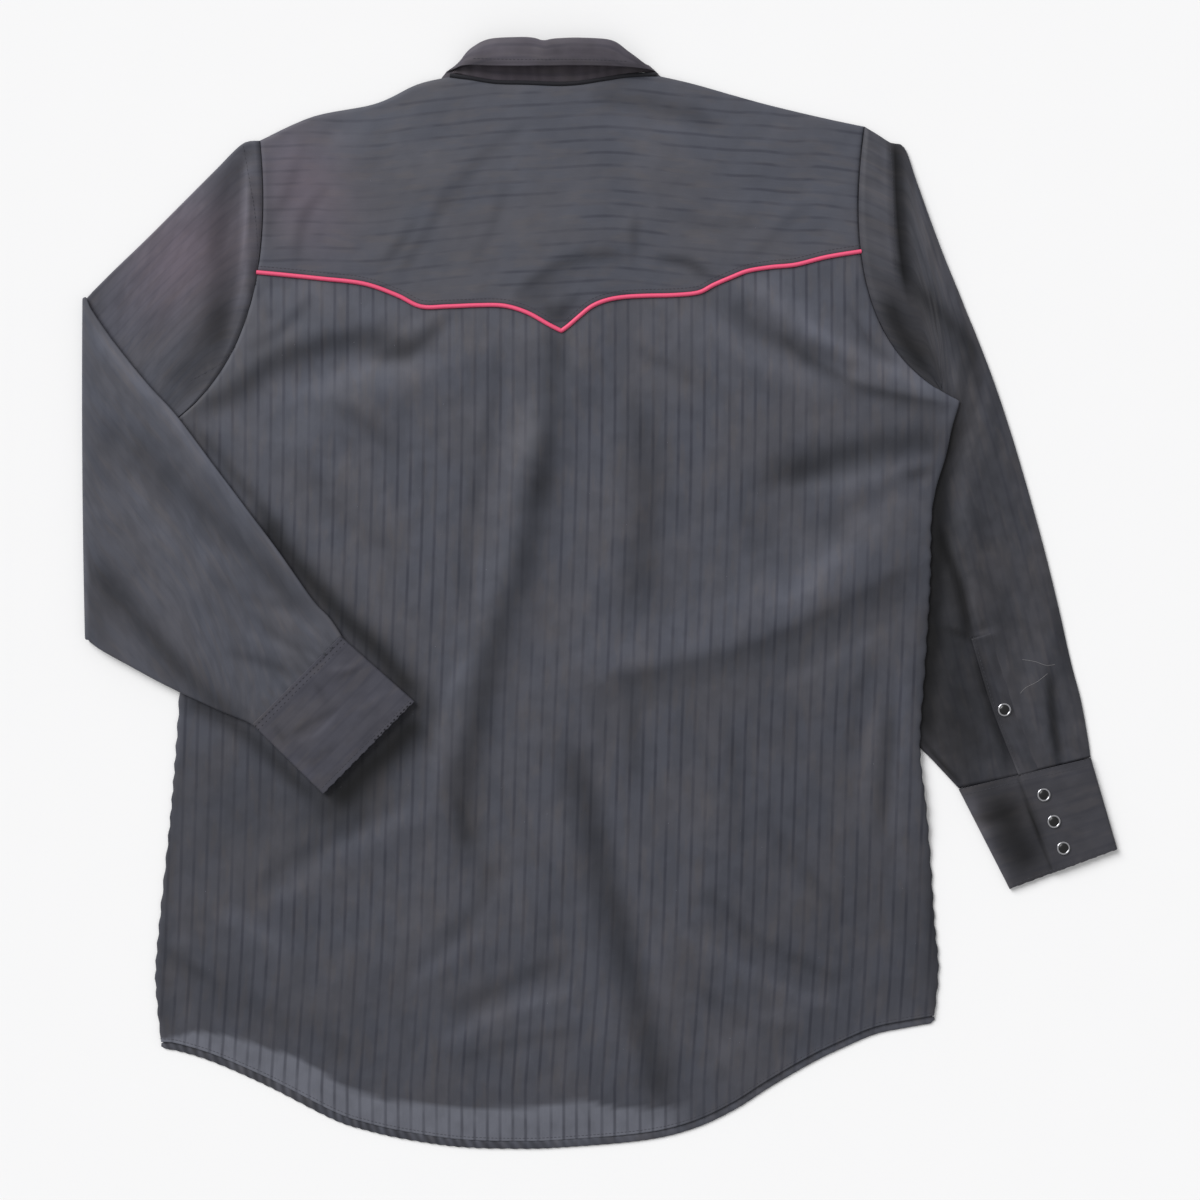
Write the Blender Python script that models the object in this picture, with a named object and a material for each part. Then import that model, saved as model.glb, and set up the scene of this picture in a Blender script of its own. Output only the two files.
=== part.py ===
"""Western snap shirt laid flat on its front, with its back up.

The pieces are the ones a maker cuts: back, yoke, two fronts, front band, sleeves, cuffs, sleeve
placket, collar stand and collar leaf, with the piping and the snaps. Each is a closed wall of cloth.
The left sleeve is folded over at the elbow, and the right sleeve passes under the side of the body.
+X is to the right of the shirt as it lies, +Y is towards the collar, and the floor is z = 0.
All sizes in the tables are millimetres.
"""

import math
from collections import namedtuple

import bmesh
import bpy
from mathutils import Vector

MM = 0.001

# Middle of the outline in the tables' own frame, which becomes the origin
OUTLINE_CENTRE = (0.3, -1.35)

# Walls and gaps
CLOTH = 1.2                 # one layer of cloth
CUFF_CLOTH = 1.5            # a cuff is doubled
SEAM = 0.3                  # gap between sewn pieces
STEP = CLOTH + SEAM         # height that one layer adds to the pile
TUBE = 2 * CLOTH + SEAM     # height of a flattened sleeve
EDGE_ROUND = 3.0            # width over which a flattened tube closes at its side
SIDE_WALL = 1.3             # wall of a tube at its side fold

# Front closing
CENTRE_X = -32.0
BAND_WIDTH = 35.0
BAND_TOP = 333.0
FIRST_SNAP = BAND_TOP - 14.0
SNAP_SPACING = 105.0
FRONT_SNAPS = 6

# Snaps: a domed cap in a metal ring
RING_RADIUS = 5.2
CAP_RADIUS = 3.7
RING_HEIGHT = 1.6
CAP_HEIGHT = 2.3
PLAIN_SNAP_RADIUS = 5.0

# Piping
PIPING_HALF_WIDTH = 1.5
PIPING_HEIGHT = 2.6

# Hem, turned twice
HEM_INSETS = [(22.0, 0.0), (14.0, 0.0), (8.0, 0.0), (6.4, 0.7), (3.2, 0.9), (0.0, 0.4)]  # inset and height

# Heights that let one piece lie over another
SLEEVE_LIFT = TUBE + 2 * SEAM   # body over the right sleeve
NECK_LIFT = STEP            # fronts over the collar points
FOREARM_BASE = 4.6          # left forearm over the back
BACK_CLEAR = 0.25           # slack of the back over what lies under it
TAIL_FALL_START = 6.0       # past the fronts' hem, the back's tail comes down
TAIL_FALL_END = 30.0        # to the floor over this distance

# Meshes
BODY_COLUMNS = 36
ARMHOLE_ROWS = 8            # of the back below the yoke
FRONT_ARMHOLE_ROWS = 13
SIDE_ROWS = 18
YOKE_ROWS = 7
FRONT_COLUMNS = 14
SLEEVE_POINTS = 11

# Outlines, x and y in millimetres
SHOULDER_LEFT = [(-268, 357), (-226, 376), (-177, 386), (-144, 401), (-118, 407)]
SHOULDER_RIGHT = [(45, 408), (76, 401), (130, 386), (176, 375), (209, 368)]
NECK_BACK = [(-118, 407), (-102, 405), (-83, 402), (-58, 401), (-33, 400), (-15, 401), (4, 404), (23, 407),
             (45, 408)]
NECK_FRONT_LEFT = [(-118, 407), (-115, 380), (-98, 352), (-74, 338), (-50, 333)]
NECK_FRONT_RIGHT = [(-46, 333), (-16, 334), (16, 342), (36, 364), (43, 386), (45, 408)]
ARMHOLE_LEFT = [(-268, 357), (-252, 187), (-346, 129)]
ARMHOLE_RIGHT = [(209, 368), (184, 196), (284.3, 151.3)]
SIDE_LEFT = [(-346, 129), (-333, 58), (-328, -6), (-331, -80), (-334, -126), (-338, -175), (-342, -214),
             (-347, -262), (-350, -300), (-348.5, -325), (-346, -353)]
SIDE_RIGHT = [(284.3, 151.3), (278, 131), (273, 108), (265, 82), (261, 55), (260, 7), (256, -58),
              (252, -120), (257, -169), (261, -215), (264, -262), (267, -295), (265, -331)]
YOKE_SEAM = [(-270.5, 253), (-249, 251), (-220, 248), (-186, 244), (-160, 235), (-141, 226), (-120, 226),
             (-95, 227), (-75, 226.5), (-57, 221), (-40, 211.5), (-30, 206.5), (-24, 211), (-16, 218), (-6, 226),
             (6, 231), (20, 233.5), (38, 234.5), (59, 235), (78, 237), (90, 243), (104, 249), (117, 254),
             (135, 257), (155, 259), (179, 265), (206.5, 269.5)]
YOKE_POINT = 11             # row of YOKE_SEAM where the seam turns sharply
HEM_BACK = [(-346, -360), (-334, -361), (-305, -370), (-262, -389), (-211, -415), (-184, -424), (-153, -431),
            (-111, -437), (-66, -438.5), (-30, -437.5), (34, -432), (73, -423), (106, -408), (136, -389),
            (169, -370), (194, -358), (218, -348), (242, -343), (265, -339)]
HEM_FRONT_LEFT = [(-338, -350), (-318, -345), (-290, -349), (-264, -358), (-236, -366), (-201, -389),
                  (-170, -399), (-113, -406), (-49.8, -405)]
HEM_FRONT_RIGHT = [(-46, -403), (-12, -399), (16, -406), (60, -405), (100, -390), (140, -368), (180, -350),
                   (220, -338), (262, -331)]

# A soft ridge: a segment's ends, the half width and the height
Fold = namedtuple("Fold", "from_x from_y to_x to_y half_width height")
BACK_FOLDS = [
    Fold(-20, 165, -48, 108, 15, 3.6),
    Fold(-48, 108, -72, -6, 17, 4.4),
    Fold(-72, -6, -112, -130, 15, 3.8),
    Fold(36, 120, 8, -60, 26, 2.4),
    Fold(-230, 120, -140, 176, 20, 3.4),
    Fold(-300, 150, -215, 205, 15, 2.6),
    Fold(-110, 190, -20, 190, 16, 2.0),
    Fold(100, 190, 205, 150, 20, 3.6),
    Fold(130, 235, 215, 205, 14, 2.6),
    Fold(180, 84, 262, 105, 16, 3.6),
    Fold(130, -2, 238, 35, 22, 3.2),
    Fold(60, -95, 225, -62, 26, 3.4),
    Fold(-24, -190, 0, -290, 14, 2.8),
    Fold(0, -290, 36, -380, 15, 3.0),
    Fold(90, -210, 60, -300, 26, 2.2),
    Fold(-255, -225, -170, -190, 20, 2.4),
    Fold(-190, -300, -60, -260, 26, 2.4),
    Fold(150, -270, 220, -200, 24, 2.0),
    Fold(-280, -300, -220, -350, 22, 1.6),
]
YOKE_FOLDS = [
    Fold(-190, 340, -60, 318, 16, 1.8),
    Fold(40, 330, 150, 345, 16, 1.8),
    Fold(-20, 290, 70, 275, 16, 1.4),
]

# Right sleeve: one row for each line across it, from its outer edge, past a bend, to its inner edge.
# settle is how much of the body's lift the row still has, and crease is the height of the cap's pleat.
Across = namedtuple("Across", "outer_x outer_y bend_x bend_y inner_x inner_y settle crease",
                    defaults=(0.0, 0.0))
RIGHT_SLEEVE = [
    Across(210.0, 367.9, 185.2, 197.0, 286.6, 152.0, 1.0, 0.6),
    Across(218.5, 362.5, 206.0, 194.0, 291.0, 155.0, 0.55, 3.0),
    Across(228.5, 356.0, 226.0, 192.0, 294.5, 153.5, 0.15, 4.2),
    Across(231.5, 355.0, 230.5, 192.0, 295.5, 148.0),
    Across(241.0, 351.0, 250.0, 198.0, 292.0, 138.0),
    Across(251.0, 323.0, 258.0, 198.0, 285.0, 128.5),
    Across(268.5, 275.0, 264.0, 184.0, 275.0, 119.0),
    Across(286.5, 230.0, 268.0, 160.0, 263.0, 107.0),
    Across(299.0, 199.0, 274.0, 144.0, 250.0, 92.0),
    Across(311.5, 166.0, 274.0, 118.0, 236.0, 72.0),
    Across(324.5, 127.0, 274.0, 88.0, 222.0, 44.0),
    Across(337.0, 85.0, 276.0, 50.0, 213.0, 14.0),
    Across(349.5, 40.0, 281.0, 10.0, 211.0, -20.0),
    Across(361.0, -6.0, 288.0, -30.0, 216.0, -52.0),
    Across(372.0, -54.0, 298.0, -68.0, 225.0, -82.0),
    Across(380.0, -85.0, 308.0, -95.0, 237.0, -106.0),
    Across(385.0, -112.0, 322.0, -120.0, 260.0, -129.0),
    Across(387.6, -129.5, 335.0, -143.5, 283.4, -154.0),
]
RIGHT_FOLDS = [
    Fold(243, 325, 300, 165, 9, 3.0),
    Fold(300, 165, 322, 60, 11, 2.2),
    Fold(266, 215, 286, 172, 9, 2.0),
    Fold(286, 60, 296, -20, 9, 2.6),
    Fold(335, 40, 356, -80, 12, 1.8),
    Fold(268, -30, 276, -100, 10, 2.0),
]

# Left sleeve, from the armhole to the elbow and on to the cuff: its upper edge is the outer one
LEFT_UPPER_ARM = [
    Across(-269.0, 357.0, -254.0, 186.0, -348.0, 128.4),
    Across(-282.0, 354.5, -272.0, 200.0, -350.0, 122.0),
    Across(-303.0, 334.0, -306.0, 200.0, -357.0, 104.0),
    Across(-330.0, 307.0, -340.0, 190.0, -368.0, 74.0),
    Across(-357.0, 280.0, -368.0, 168.0, -380.0, 40.0),
    Across(-384.0, 254.0, -388.0, 130.0, -393.0, 2.0),
    Across(-400.0, 238.0, -401.5, 105.0, -402.5, -28.0),
]
ELBOW = Across(-404.0, 233.0, -405.2, 98.0, -402.0, -37.0)
ELBOW_TURNS = 6
LEFT_FOREARM = [
    Across(-401.0, 225.0, -401.0, 92.0, -401.0, -39.0),
    Across(-391.0, 210.0, -391.0, 82.0, -391.0, -46.0),
    Across(-377.0, 191.0, -374.0, 66.0, -371.0, -57.0),
    Across(-355.0, 164.0, -352.0, 46.0, -349.0, -69.0),
    Across(-333.0, 140.0, -332.0, 28.0, -331.0, -78.0),
    Across(-306.0, 104.0, -310.0, 6.0, -314.0, -86.0),
    Across(-279.0, 68.0, -290.0, -14.0, -301.0, -92.0),
    Across(-252.0, 32.0, -270.0, -32.0, -289.0, -97.0),
    Across(-226.0, -5.0, -252.0, -52.0, -279.0, -101.0),
    Across(-212.0, -20.0, -243.0, -62.0, -275.0, -103.0),
    Across(-204.0, -33.5, -239.0, -68.5, -274.0, -103.5),
]
UPPER_ARM_FOLDS = [
    Fold(-300, 318, -388, 236, 7, 1.6),
    Fold(-285, 240, -345, 190, 14, 2.2),
]
FOREARM_FOLDS = [
    Fold(-388, 160, -372, 10, 18, 2.6),
    Fold(-360, 130, -300, -20, 20, 2.8),
    Fold(-300, 60, -245, -50, 13, 2.4),
    Fold(-330, -20, -285, -75, 13, 1.8),
]

# Cuffs: the line at the seam and the line at the open end
Cuff = namedtuple("Cuff", "seam_from seam_to end_from end_to")
RIGHT_CUFF = Cuff((388.0, -130.7), (283.6, -155.4), (408.6, -201.4), (323.4, -233.0))
LEFT_CUFF = Cuff((-203.0, -34.5), (-272.6, -104.2), (-146.0, -85.0), (-218.0, -158.0))
CUFF_ROWS = 5
CUFF_LAP = ((335.0, -146.0), (359.0, -220.0))   # edge of the lapped end of the right cuff
LAP_RAISE = 1.3

# Placket of the right sleeve, along its left edge, and its snap
PLACKET_EDGE = [(293, -36), (300, -60), (306, -80), (314, -103), (326, -133)]
PLACKET_WIDTH = 19.0
RIGHT_SNAPS = {
    "right_placket_snap": (319.0, -92.0),
    "right_cuff_snap_1": (350.0, -159.0),
    "right_cuff_snap_2": (358.0, -180.0),
    "right_cuff_snap_3": (365.5, -201.0),
}
LEFT_SNAPS = {
    "left_cuff_snap_1": (-228.0, -76.0),
    "left_cuff_snap_2": (-213.0, -91.0),
    "left_cuff_snap_3": (-198.0, -106.0),
}

# Collar, from the front centre round the back of the neck: where the stand is sewn, and its top
Stand = namedtuple("Stand", "seam_x seam_y seam_z top_x top_y top_z")
COLLAR_STAND = [
    Stand(-33.6, 334.0, 2.1, -33.6, 362.0, 2.1),
    Stand(-56.0, 335.0, 2.1, -52.0, 366.0, 2.1),
    Stand(-76.0, 341.0, 2.1, -72.0, 374.0, 2.1),
    Stand(-97.0, 355.5, 2.1, -88.0, 386.0, 2.1),
    Stand(-112.0, 380.0, 2.1, -100.0, 402.0, 2.3),
    Stand(-116.0, 398.0, 2.1, -105.5, 410.0, 2.2),
    Stand(-117.0, 409.8, 2.2, -106.5, 414.5, 3.4),
    Stand(-102.0, 407.2, 3.7, -98.0, 422.0, 7.0),
    Stand(-83.0, 403.2, 3.7, -85.0, 430.5, 8.8),
    Stand(-58.0, 402.0, 3.7, -62.0, 431.5, 9.4),
    Stand(-33.0, 401.2, 3.7, -36.0, 431.0, 9.4),
    Stand(-12.0, 402.2, 3.7, -12.0, 431.0, 9.4),
    Stand(5.0, 405.2, 3.7, 8.0, 429.5, 8.8),
    Stand(22.0, 409.0, 3.7, 19.0, 421.5, 7.6),
    Stand(43.5, 410.6, 2.2, 33.0, 413.0, 3.4),
    Stand(43.0, 398.0, 2.1, 33.0, 408.0, 2.1),
    Stand(41.0, 386.0, 2.1, 30.0, 401.0, 2.3),
    Stand(34.5, 366.0, 2.1, 22.0, 386.0, 2.1),
    Stand(14.5, 345.0, 2.1, 8.0, 374.0, 2.1),
    Stand(-8.0, 337.0, 2.1, -12.0, 366.0, 2.1),
    Stand(-30.4, 335.0, 2.1, -30.4, 362.0, 2.1),
]
Leaf = namedtuple("Leaf", "roll_x roll_y roll_z edge_x edge_y edge_z crown")
COLLAR_LEAF = [
    Leaf(-35.0, 362.0, 0.6, -70.0, 296.0, 0.6, 0.0),
    Leaf(-52.0, 367.0, 0.6, -84.0, 302.0, 0.6, 0.0),
    Leaf(-72.0, 376.0, 0.6, -100.0, 324.0, 0.6, 0.0),
    Leaf(-90.0, 388.0, 0.6, -117.0, 356.0, 0.6, 0.0),
    Leaf(-102.0, 404.0, 0.6, -126.0, 382.0, 0.6, 0.0),
    Leaf(-109.5, 414.5, 0.8, -127.0, 400.0, 0.6, 0.0),
    Leaf(-110.5, 417.0, 2.0, -121.5, 410.5, 0.6, 0.4),
    Leaf(-108.0, 420.0, 4.6, -113.5, 413.0, 6.0, 1.6),
    Leaf(-100.5, 427.5, 8.2, -105.0, 414.5, 11.0, 3.0),
    Leaf(-86.5, 434.0, 10.0, -84.0, 413.6, 13.6, 3.4),
    Leaf(-63.0, 435.2, 10.6, -60.0, 413.2, 14.2, 3.4),
    Leaf(-37.0, 434.2, 10.6, -36.0, 413.4, 14.2, 3.4),
    Leaf(-12.0, 434.8, 10.6, -12.0, 413.6, 14.2, 3.4),
    Leaf(9.0, 433.0, 10.0, 9.0, 413.2, 13.6, 3.4),
    Leaf(23.0, 424.5, 8.2, 27.0, 412.6, 11.0, 3.0),
    Leaf(34.5, 416.8, 4.6, 39.5, 412.0, 6.0, 1.6),
    Leaf(39.0, 415.5, 2.0, 49.5, 412.5, 0.6, 0.4),
    Leaf(37.0, 411.0, 0.8, 53.0, 400.0, 0.6, 0.0),
    Leaf(32.0, 403.0, 0.6, 53.0, 382.0, 0.6, 0.0),
    Leaf(22.0, 388.0, 0.6, 46.0, 356.0, 0.6, 0.0),
    Leaf(8.0, 376.0, 0.6, 34.0, 324.0, 0.6, 0.0),
    Leaf(-12.0, 367.0, 0.6, 18.0, 302.0, 0.6, 0.0),
    Leaf(-29.0, 362.0, 0.6, 4.0, 296.0, 0.6, 0.0),
]
STRIP_POINTS = 4
NECK_CENTRE = (-36.0, 372.0)
NECK_REACH = 96.0           # radius that the collar points stay within
NECK_FALL = 46.0            # width over which the fronts come down to the floor again

# Finishes: colour, roughness, metallic
CLOTH_FINISH = ((0.07, 0.07, 0.085, 1.0), 0.55, 0.0)
PIPING_FINISH = ((0.62, 0.06, 0.13, 1.0), 0.5, 0.0)
RING_FINISH = ((0.62, 0.62, 0.64, 1.0), 0.25, 1.0)
CAP_FINISH = ((0.01, 0.01, 0.012, 1.0), 0.2, 0.0)


def ramp(value, start, end):
    """0 at start, 1 at end, smooth in between."""
    part = min(max((value - start) / (end - start), 0.0), 1.0)
    return part * part * (3.0 - 2.0 * part)


def mix(a, b, part):
    """The tuple that lies part of the way from a to b."""
    return tuple(p + (q - p) * part for p, q in zip(a, b))


def smooth(points, steps):
    """A Catmull-Rom curve through points or table rows, with this many steps to a span."""
    result = []
    last = len(points) - 1
    make = getattr(type(points[0]), "_make", tuple)
    for index in range(last):
        p0 = points[max(index - 1, 0)]
        p1 = points[index]
        p2 = points[index + 1]
        p3 = points[min(index + 2, last)]
        for step in range(steps):
            t = step / steps
            result.append(make(
                b + 0.5 * t * ((c - a) + t * ((2 * a - 5 * b + 4 * c - d) + t * (3 * b - a - 3 * c + d)))
                for a, b, c, d in zip(p0, p1, p2, p3)))
    result.append(points[last])
    return result


def lengths(points):
    """Distance along the line at each of its points."""
    total = [0.0]
    for a, b in zip(points, points[1:]):
        total.append(total[-1] + math.dist(a, b))
    return total


def at_lengths(points, wanted):
    """The points that lie at the wanted distances along a line."""
    along = lengths(points)
    result = []
    index = 0
    for want in wanted:
        while index < len(points) - 2 and along[index + 1] < want:
            index += 1
        span = along[index + 1] - along[index]
        part = min(max((want - along[index]) / span, 0.0), 1.0)
        result.append(mix(points[index], points[index + 1], part))
    return result


def even(points, count):
    """The line again, with count equal spans."""
    total = lengths(points)[-1]
    return at_lengths(points, [total * i / count for i in range(count + 1)])


def arc(ends_and_bend, steps=24):
    """A curve from the first point to the last that bends towards the middle one."""
    start, bend, end = ends_and_bend
    parts = [i / steps for i in range(steps + 1)]
    return [mix(mix(start, bend, part), mix(bend, end, part), part) for part in parts]


def beside(points, distance):
    """The line moved sideways in the plane, to its left where distance is positive, with mitred turns."""
    result = []
    last = len(points) - 1
    for index, point in enumerate(points):
        before = Vector(point) - Vector(points[max(index - 1, 0)])
        after = Vector(points[min(index + 1, last)]) - Vector(point)
        before = (before if index > 0 else after).normalized()
        after = (after if index < last else before).normalized()
        normal = Vector((-before.y - after.y, before.x + after.x)).normalized()
        cosine = max(normal.dot(Vector((-after.y, after.x))), 0.5)
        result.append(tuple(Vector(point) + normal * (distance / cosine)))
    return result


def patch(top, bottom, left, right):
    """Rows of points between four edges that share their corners."""
    rows = len(left) - 1
    columns = len(top) - 1
    grid = []
    for r in range(rows + 1):
        v = r / rows
        line = []
        for c in range(columns + 1):
            u = c / columns
            across = mix(left[r], right[r], u)
            down = mix(top[c], bottom[c], v)
            corners = mix(mix(top[0], top[columns], u), mix(bottom[0], bottom[columns], u), v)
            line.append(tuple(a + d - k for a, d, k in zip(across, down, corners)))
        grid.append(line)
    return grid


def nearest_on(points, x, y):
    """Distance from a line in the plane, positive where the place is to the left of the line's course."""
    best = (1e9, 1.0)
    for (ax, ay), (bx, by) in zip(points, points[1:]):
        dx, dy = bx - ax, by - ay
        part = min(max(((x - ax) * dx + (y - ay) * dy) / (dx * dx + dy * dy), 0.0), 1.0)
        away = math.hypot(x - ax - part * dx, y - ay - part * dy)
        if away < best[0]:
            side = dx * (y - ay) - dy * (x - ax)
            best = (away, 1.0 if side >= 0 else -1.0)
    return best[0] * best[1]


def folds_at(folds, x, y):
    """Height of the soft ridges at a place."""
    height = 0.0
    for fold in folds:
        line = [(fold.from_x, fold.from_y), (fold.to_x, fold.to_y)]
        height += fold.height * math.exp(-((nearest_on(line, x, y) / fold.half_width) ** 2))
    return height


SLEEVE_INNER_EDGE = [(291.0, 165.0)] + [(row.inner_x, row.inner_y) for row in RIGHT_SLEEVE[4:]]


def lift(x, y):
    """How far the fronts ride above the floor: over the right sleeve, and over the collar points."""
    over_sleeve = ramp(nearest_on(SLEEVE_INNER_EDGE, x, y), -62.0, -30.0)
    from_neck = math.dist((x, y), NECK_CENTRE)
    over_collar = 1.0 - ramp(from_neck, NECK_REACH, NECK_REACH + NECK_FALL)
    return max(SLEEVE_LIFT * over_sleeve, NECK_LIFT * over_collar)


def under_right_front(x, y):
    """Underside of the right front, which laps over the front band."""
    edge = CENTRE_X + BAND_WIDTH / 2
    return lift(x, y) + STEP * (1.0 - ramp(x, edge + 6.0, edge + 26.0))


def under_back(x, y):
    """Underside of the back and the yoke before their folds: over the fronts and their lap."""
    half = BAND_WIDTH / 2
    lap = ramp(x, CENTRE_X - half - 28.0, CENTRE_X - half - 3.0)
    lap *= 1.0 - ramp(x, CENTRE_X + half + 8.0, CENTRE_X + half + 34.0)
    past_fronts = ramp(-nearest_on(FRONT_HEM_LINE, x, y), TAIL_FALL_START, TAIL_FALL_END)
    return lift(x, y) + (STEP * (1.0 + lap) + BACK_CLEAR) * (1.0 - past_fronts)


def seam_fade(x, y):
    """Folds fade out towards the side seams, the armholes and under the left forearm."""
    sides = min(nearest_on(LEFT_SIDE_LINE, x, y), -nearest_on(RIGHT_SIDE_LINE, x, y))
    forearm = nearest_on(FOREARM_LINE, x, y)
    return ramp(sides, 0.0, 26.0) * ramp(forearm, 0.0, 22.0)


def back_bottom(x, y):
    """Underside of the back with its folds."""
    return under_back(x, y) + folds_at(BACK_FOLDS + YOKE_FOLDS, x, y) * seam_fade(x, y)


LEFT_SIDE_LINE = arc(ARMHOLE_LEFT)[:-1] + SIDE_LEFT
RIGHT_SIDE_LINE = arc(ARMHOLE_RIGHT)[:-1] + SIDE_RIGHT
FRONT_HEM_LINE = HEM_FRONT_LEFT + HEM_FRONT_RIGHT
FOREARM_LINE = [(row.outer_x, row.outer_y) for row in LEFT_FOREARM] + [LEFT_CUFF.end_from, LEFT_CUFF.end_to]
FOREARM_LINE += [(row.inner_x, row.inner_y) for row in reversed(LEFT_FOREARM[:-1])]


def finish(name, points, faces, look, smooth_angle=40.0):
    """Make the named object from millimetre points, facing out, with its own material."""
    mesh = bpy.data.meshes.new(name)
    centre = Vector((*OUTLINE_CENTRE, 0.0))
    mesh.from_pydata([(Vector(p) - centre) * MM for p in points], [], faces)
    work = bmesh.new()
    work.from_mesh(mesh)
    if work.calc_volume(signed=True) < 0:
        bmesh.ops.reverse_faces(work, faces=work.faces)
    work.to_mesh(mesh)
    work.free()
    mesh.shade_smooth()
    mesh.set_sharp_from_angle(angle=math.radians(smooth_angle))
    material = bpy.data.materials.new(name)
    material.use_nodes = True
    shader = material.node_tree.nodes["Principled BSDF"]
    shader.inputs["Base Color"].default_value = look[0]
    shader.inputs["Roughness"].default_value = look[1]
    shader.inputs["Metallic"].default_value = look[2]
    mesh.materials.append(material)
    thing = bpy.data.objects.new(name, mesh)
    bpy.context.scene.collection.objects.link(thing)
    return thing


def wall(name, lower, upper, look):
    """A closed sheet between two grids of points with the same rows and columns."""
    rows, columns = len(lower), len(lower[0])
    points = [p for line in lower for p in line] + [p for line in upper for p in line]
    above = rows * columns
    faces = []
    for r in range(rows - 1):
        for c in range(columns - 1):
            a, b = r * columns + c, r * columns + c + 1
            d, e = a + columns, b + columns
            faces.append((a, b, e, d))
            faces.append((above + a, above + d, above + e, above + b))
    rim = [(0, c) for c in range(columns)] + [(r, columns - 1) for r in range(1, rows)]
    rim += [(rows - 1, c) for c in range(columns - 2, -1, -1)] + [(r, 0) for r in range(rows - 2, 0, -1)]
    ring = [r * columns + c for r, c in rim]
    for a, b in zip(ring, ring[1:] + ring[:1]):
        faces.append((b, a, above + a, above + b))
    return finish(name, points, faces, look)


def tube(name, outer, inner, look):
    """A closed wall round a hollow that is open at both ends; each ring is a closed line of points."""
    rows, count = len(outer), len(outer[0])
    points = [p for ring in outer for p in ring] + [p for ring in inner for p in ring]
    inside = rows * count
    faces = []
    for r in range(rows - 1):
        for c in range(count):
            a, b = r * count + c, r * count + (c + 1) % count
            d, e = a + count, b + count
            faces.append((a, b, e, d))
            faces.append((inside + a, inside + d, inside + e, inside + b))
    for c in range(count):
        a, b = c, (c + 1) % count
        faces.append((b, a, inside + a, inside + b))
        d, e = (rows - 1) * count + a, (rows - 1) * count + b
        faces.append((d, e, inside + e, inside + d))
    return finish(name, points, faces, look)


def panel(name, grid, under, raised=None):
    """A cloth panel: its plan grid, its underside as a height of the place, and what stands up on it."""
    lower = [[(x, y, under(x, y)) for x, y in line] for line in grid]
    upper = []
    for r, line in enumerate(lower):
        extra = raised[r] if raised else 0.0
        upper.append([(x, y, z + CLOTH + extra) for x, y, z in line])
    return wall(name, lower, upper, CLOTH_FINISH)


def cut_at(points, height):
    """The two parts of a falling line, above and below a height."""
    for index, (a, b) in enumerate(zip(points, points[1:])):
        if a[1] >= height > b[1]:
            middle = mix(a, b, (a[1] - height) / (a[1] - b[1]))
            return points[:index + 1] + [middle], [middle] + points[index + 1:]
    raise ValueError("the line does not cross this height")


def seam_line():
    """The yoke seam, evenly spaced on both sides of its point."""
    left = smooth(YOKE_SEAM[:YOKE_POINT + 1], 4)
    right = smooth(YOKE_SEAM[YOKE_POINT:], 4)
    half = BODY_COLUMNS // 2
    return even(left, half) + even(right, BODY_COLUMNS - half)[1:]


def back_pieces():
    """The back panel, the yoke above it, and the piping in the seam between them."""
    seam = seam_line()
    clear = PIPING_HALF_WIDTH + SEAM
    yoke_edge = beside(seam, clear)
    back_edge = beside(seam, -clear)
    left_arm, right_arm = arc(ARMHOLE_LEFT), arc(ARMHOLE_RIGHT)

    yoke_left = [SHOULDER_LEFT[0]] + cut_at(left_arm, yoke_edge[0][1])[0][1:-1] + [yoke_edge[0]]
    yoke_right = [SHOULDER_RIGHT[-1]] + cut_at(right_arm, yoke_edge[-1][1])[0][1:-1] + [yoke_edge[-1]]
    shoulders = even(smooth(SHOULDER_LEFT, 3), 11) + even(smooth(NECK_BACK, 3), 14)[1:]
    shoulders += even(smooth(SHOULDER_RIGHT, 3), BODY_COLUMNS - 25)[1:]
    yoke = patch(shoulders, yoke_edge, even(yoke_left, YOKE_ROWS), even(yoke_right, YOKE_ROWS))
    panel("back_yoke", yoke, back_bottom)

    hem = even(smooth(HEM_BACK, 3), BODY_COLUMNS)
    hem_top = beside(hem, HEM_INSETS[0][0])
    left = even([back_edge[0]] + cut_at(left_arm, back_edge[0][1])[1][1:], ARMHOLE_ROWS)
    right = even([back_edge[-1]] + cut_at(right_arm, back_edge[-1][1])[1][1:], ARMHOLE_ROWS)
    left += even(smooth(SIDE_LEFT[:-1] + [hem_top[0]], 3), SIDE_ROWS)[1:]
    right += even(smooth(SIDE_RIGHT[:-1] + [hem_top[-1]], 3), SIDE_ROWS)[1:]
    back = patch(back_edge, hem_top, left, right)
    raised = [0.0] * len(back)
    for inset, height in HEM_INSETS[1:]:
        back.append(beside(hem, inset))
        raised.append(height)
    panel("back_panel", back, back_bottom, raised)

    half = PIPING_HALF_WIDTH
    profile = [(-half, 0.5), (-half, 1.6), (-0.6, PIPING_HEIGHT), (0.6, PIPING_HEIGHT), (half, 1.6),
               (half, 0.5), (0.0, 0.0)]
    lines = [beside(seam, -side) for side, _ in profile]
    rings = []
    for index, (x, y) in enumerate(seam):
        base = back_bottom(x, y)
        rings.append([(*line[index], base + height) for line, (_, height) in zip(lines, profile)])
    count = len(profile)
    points = [p for ring in rings for p in ring]
    faces = [tuple(range(count)), tuple(reversed(range(len(points) - count, len(points))))]
    for r in range(len(rings) - 1):
        for c in range(count):
            a, b = r * count + c, r * count + (c + 1) % count
            faces.append((b, a, a + count, b + count))
    finish("yoke_piping", points, faces, PIPING_FINISH)


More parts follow.
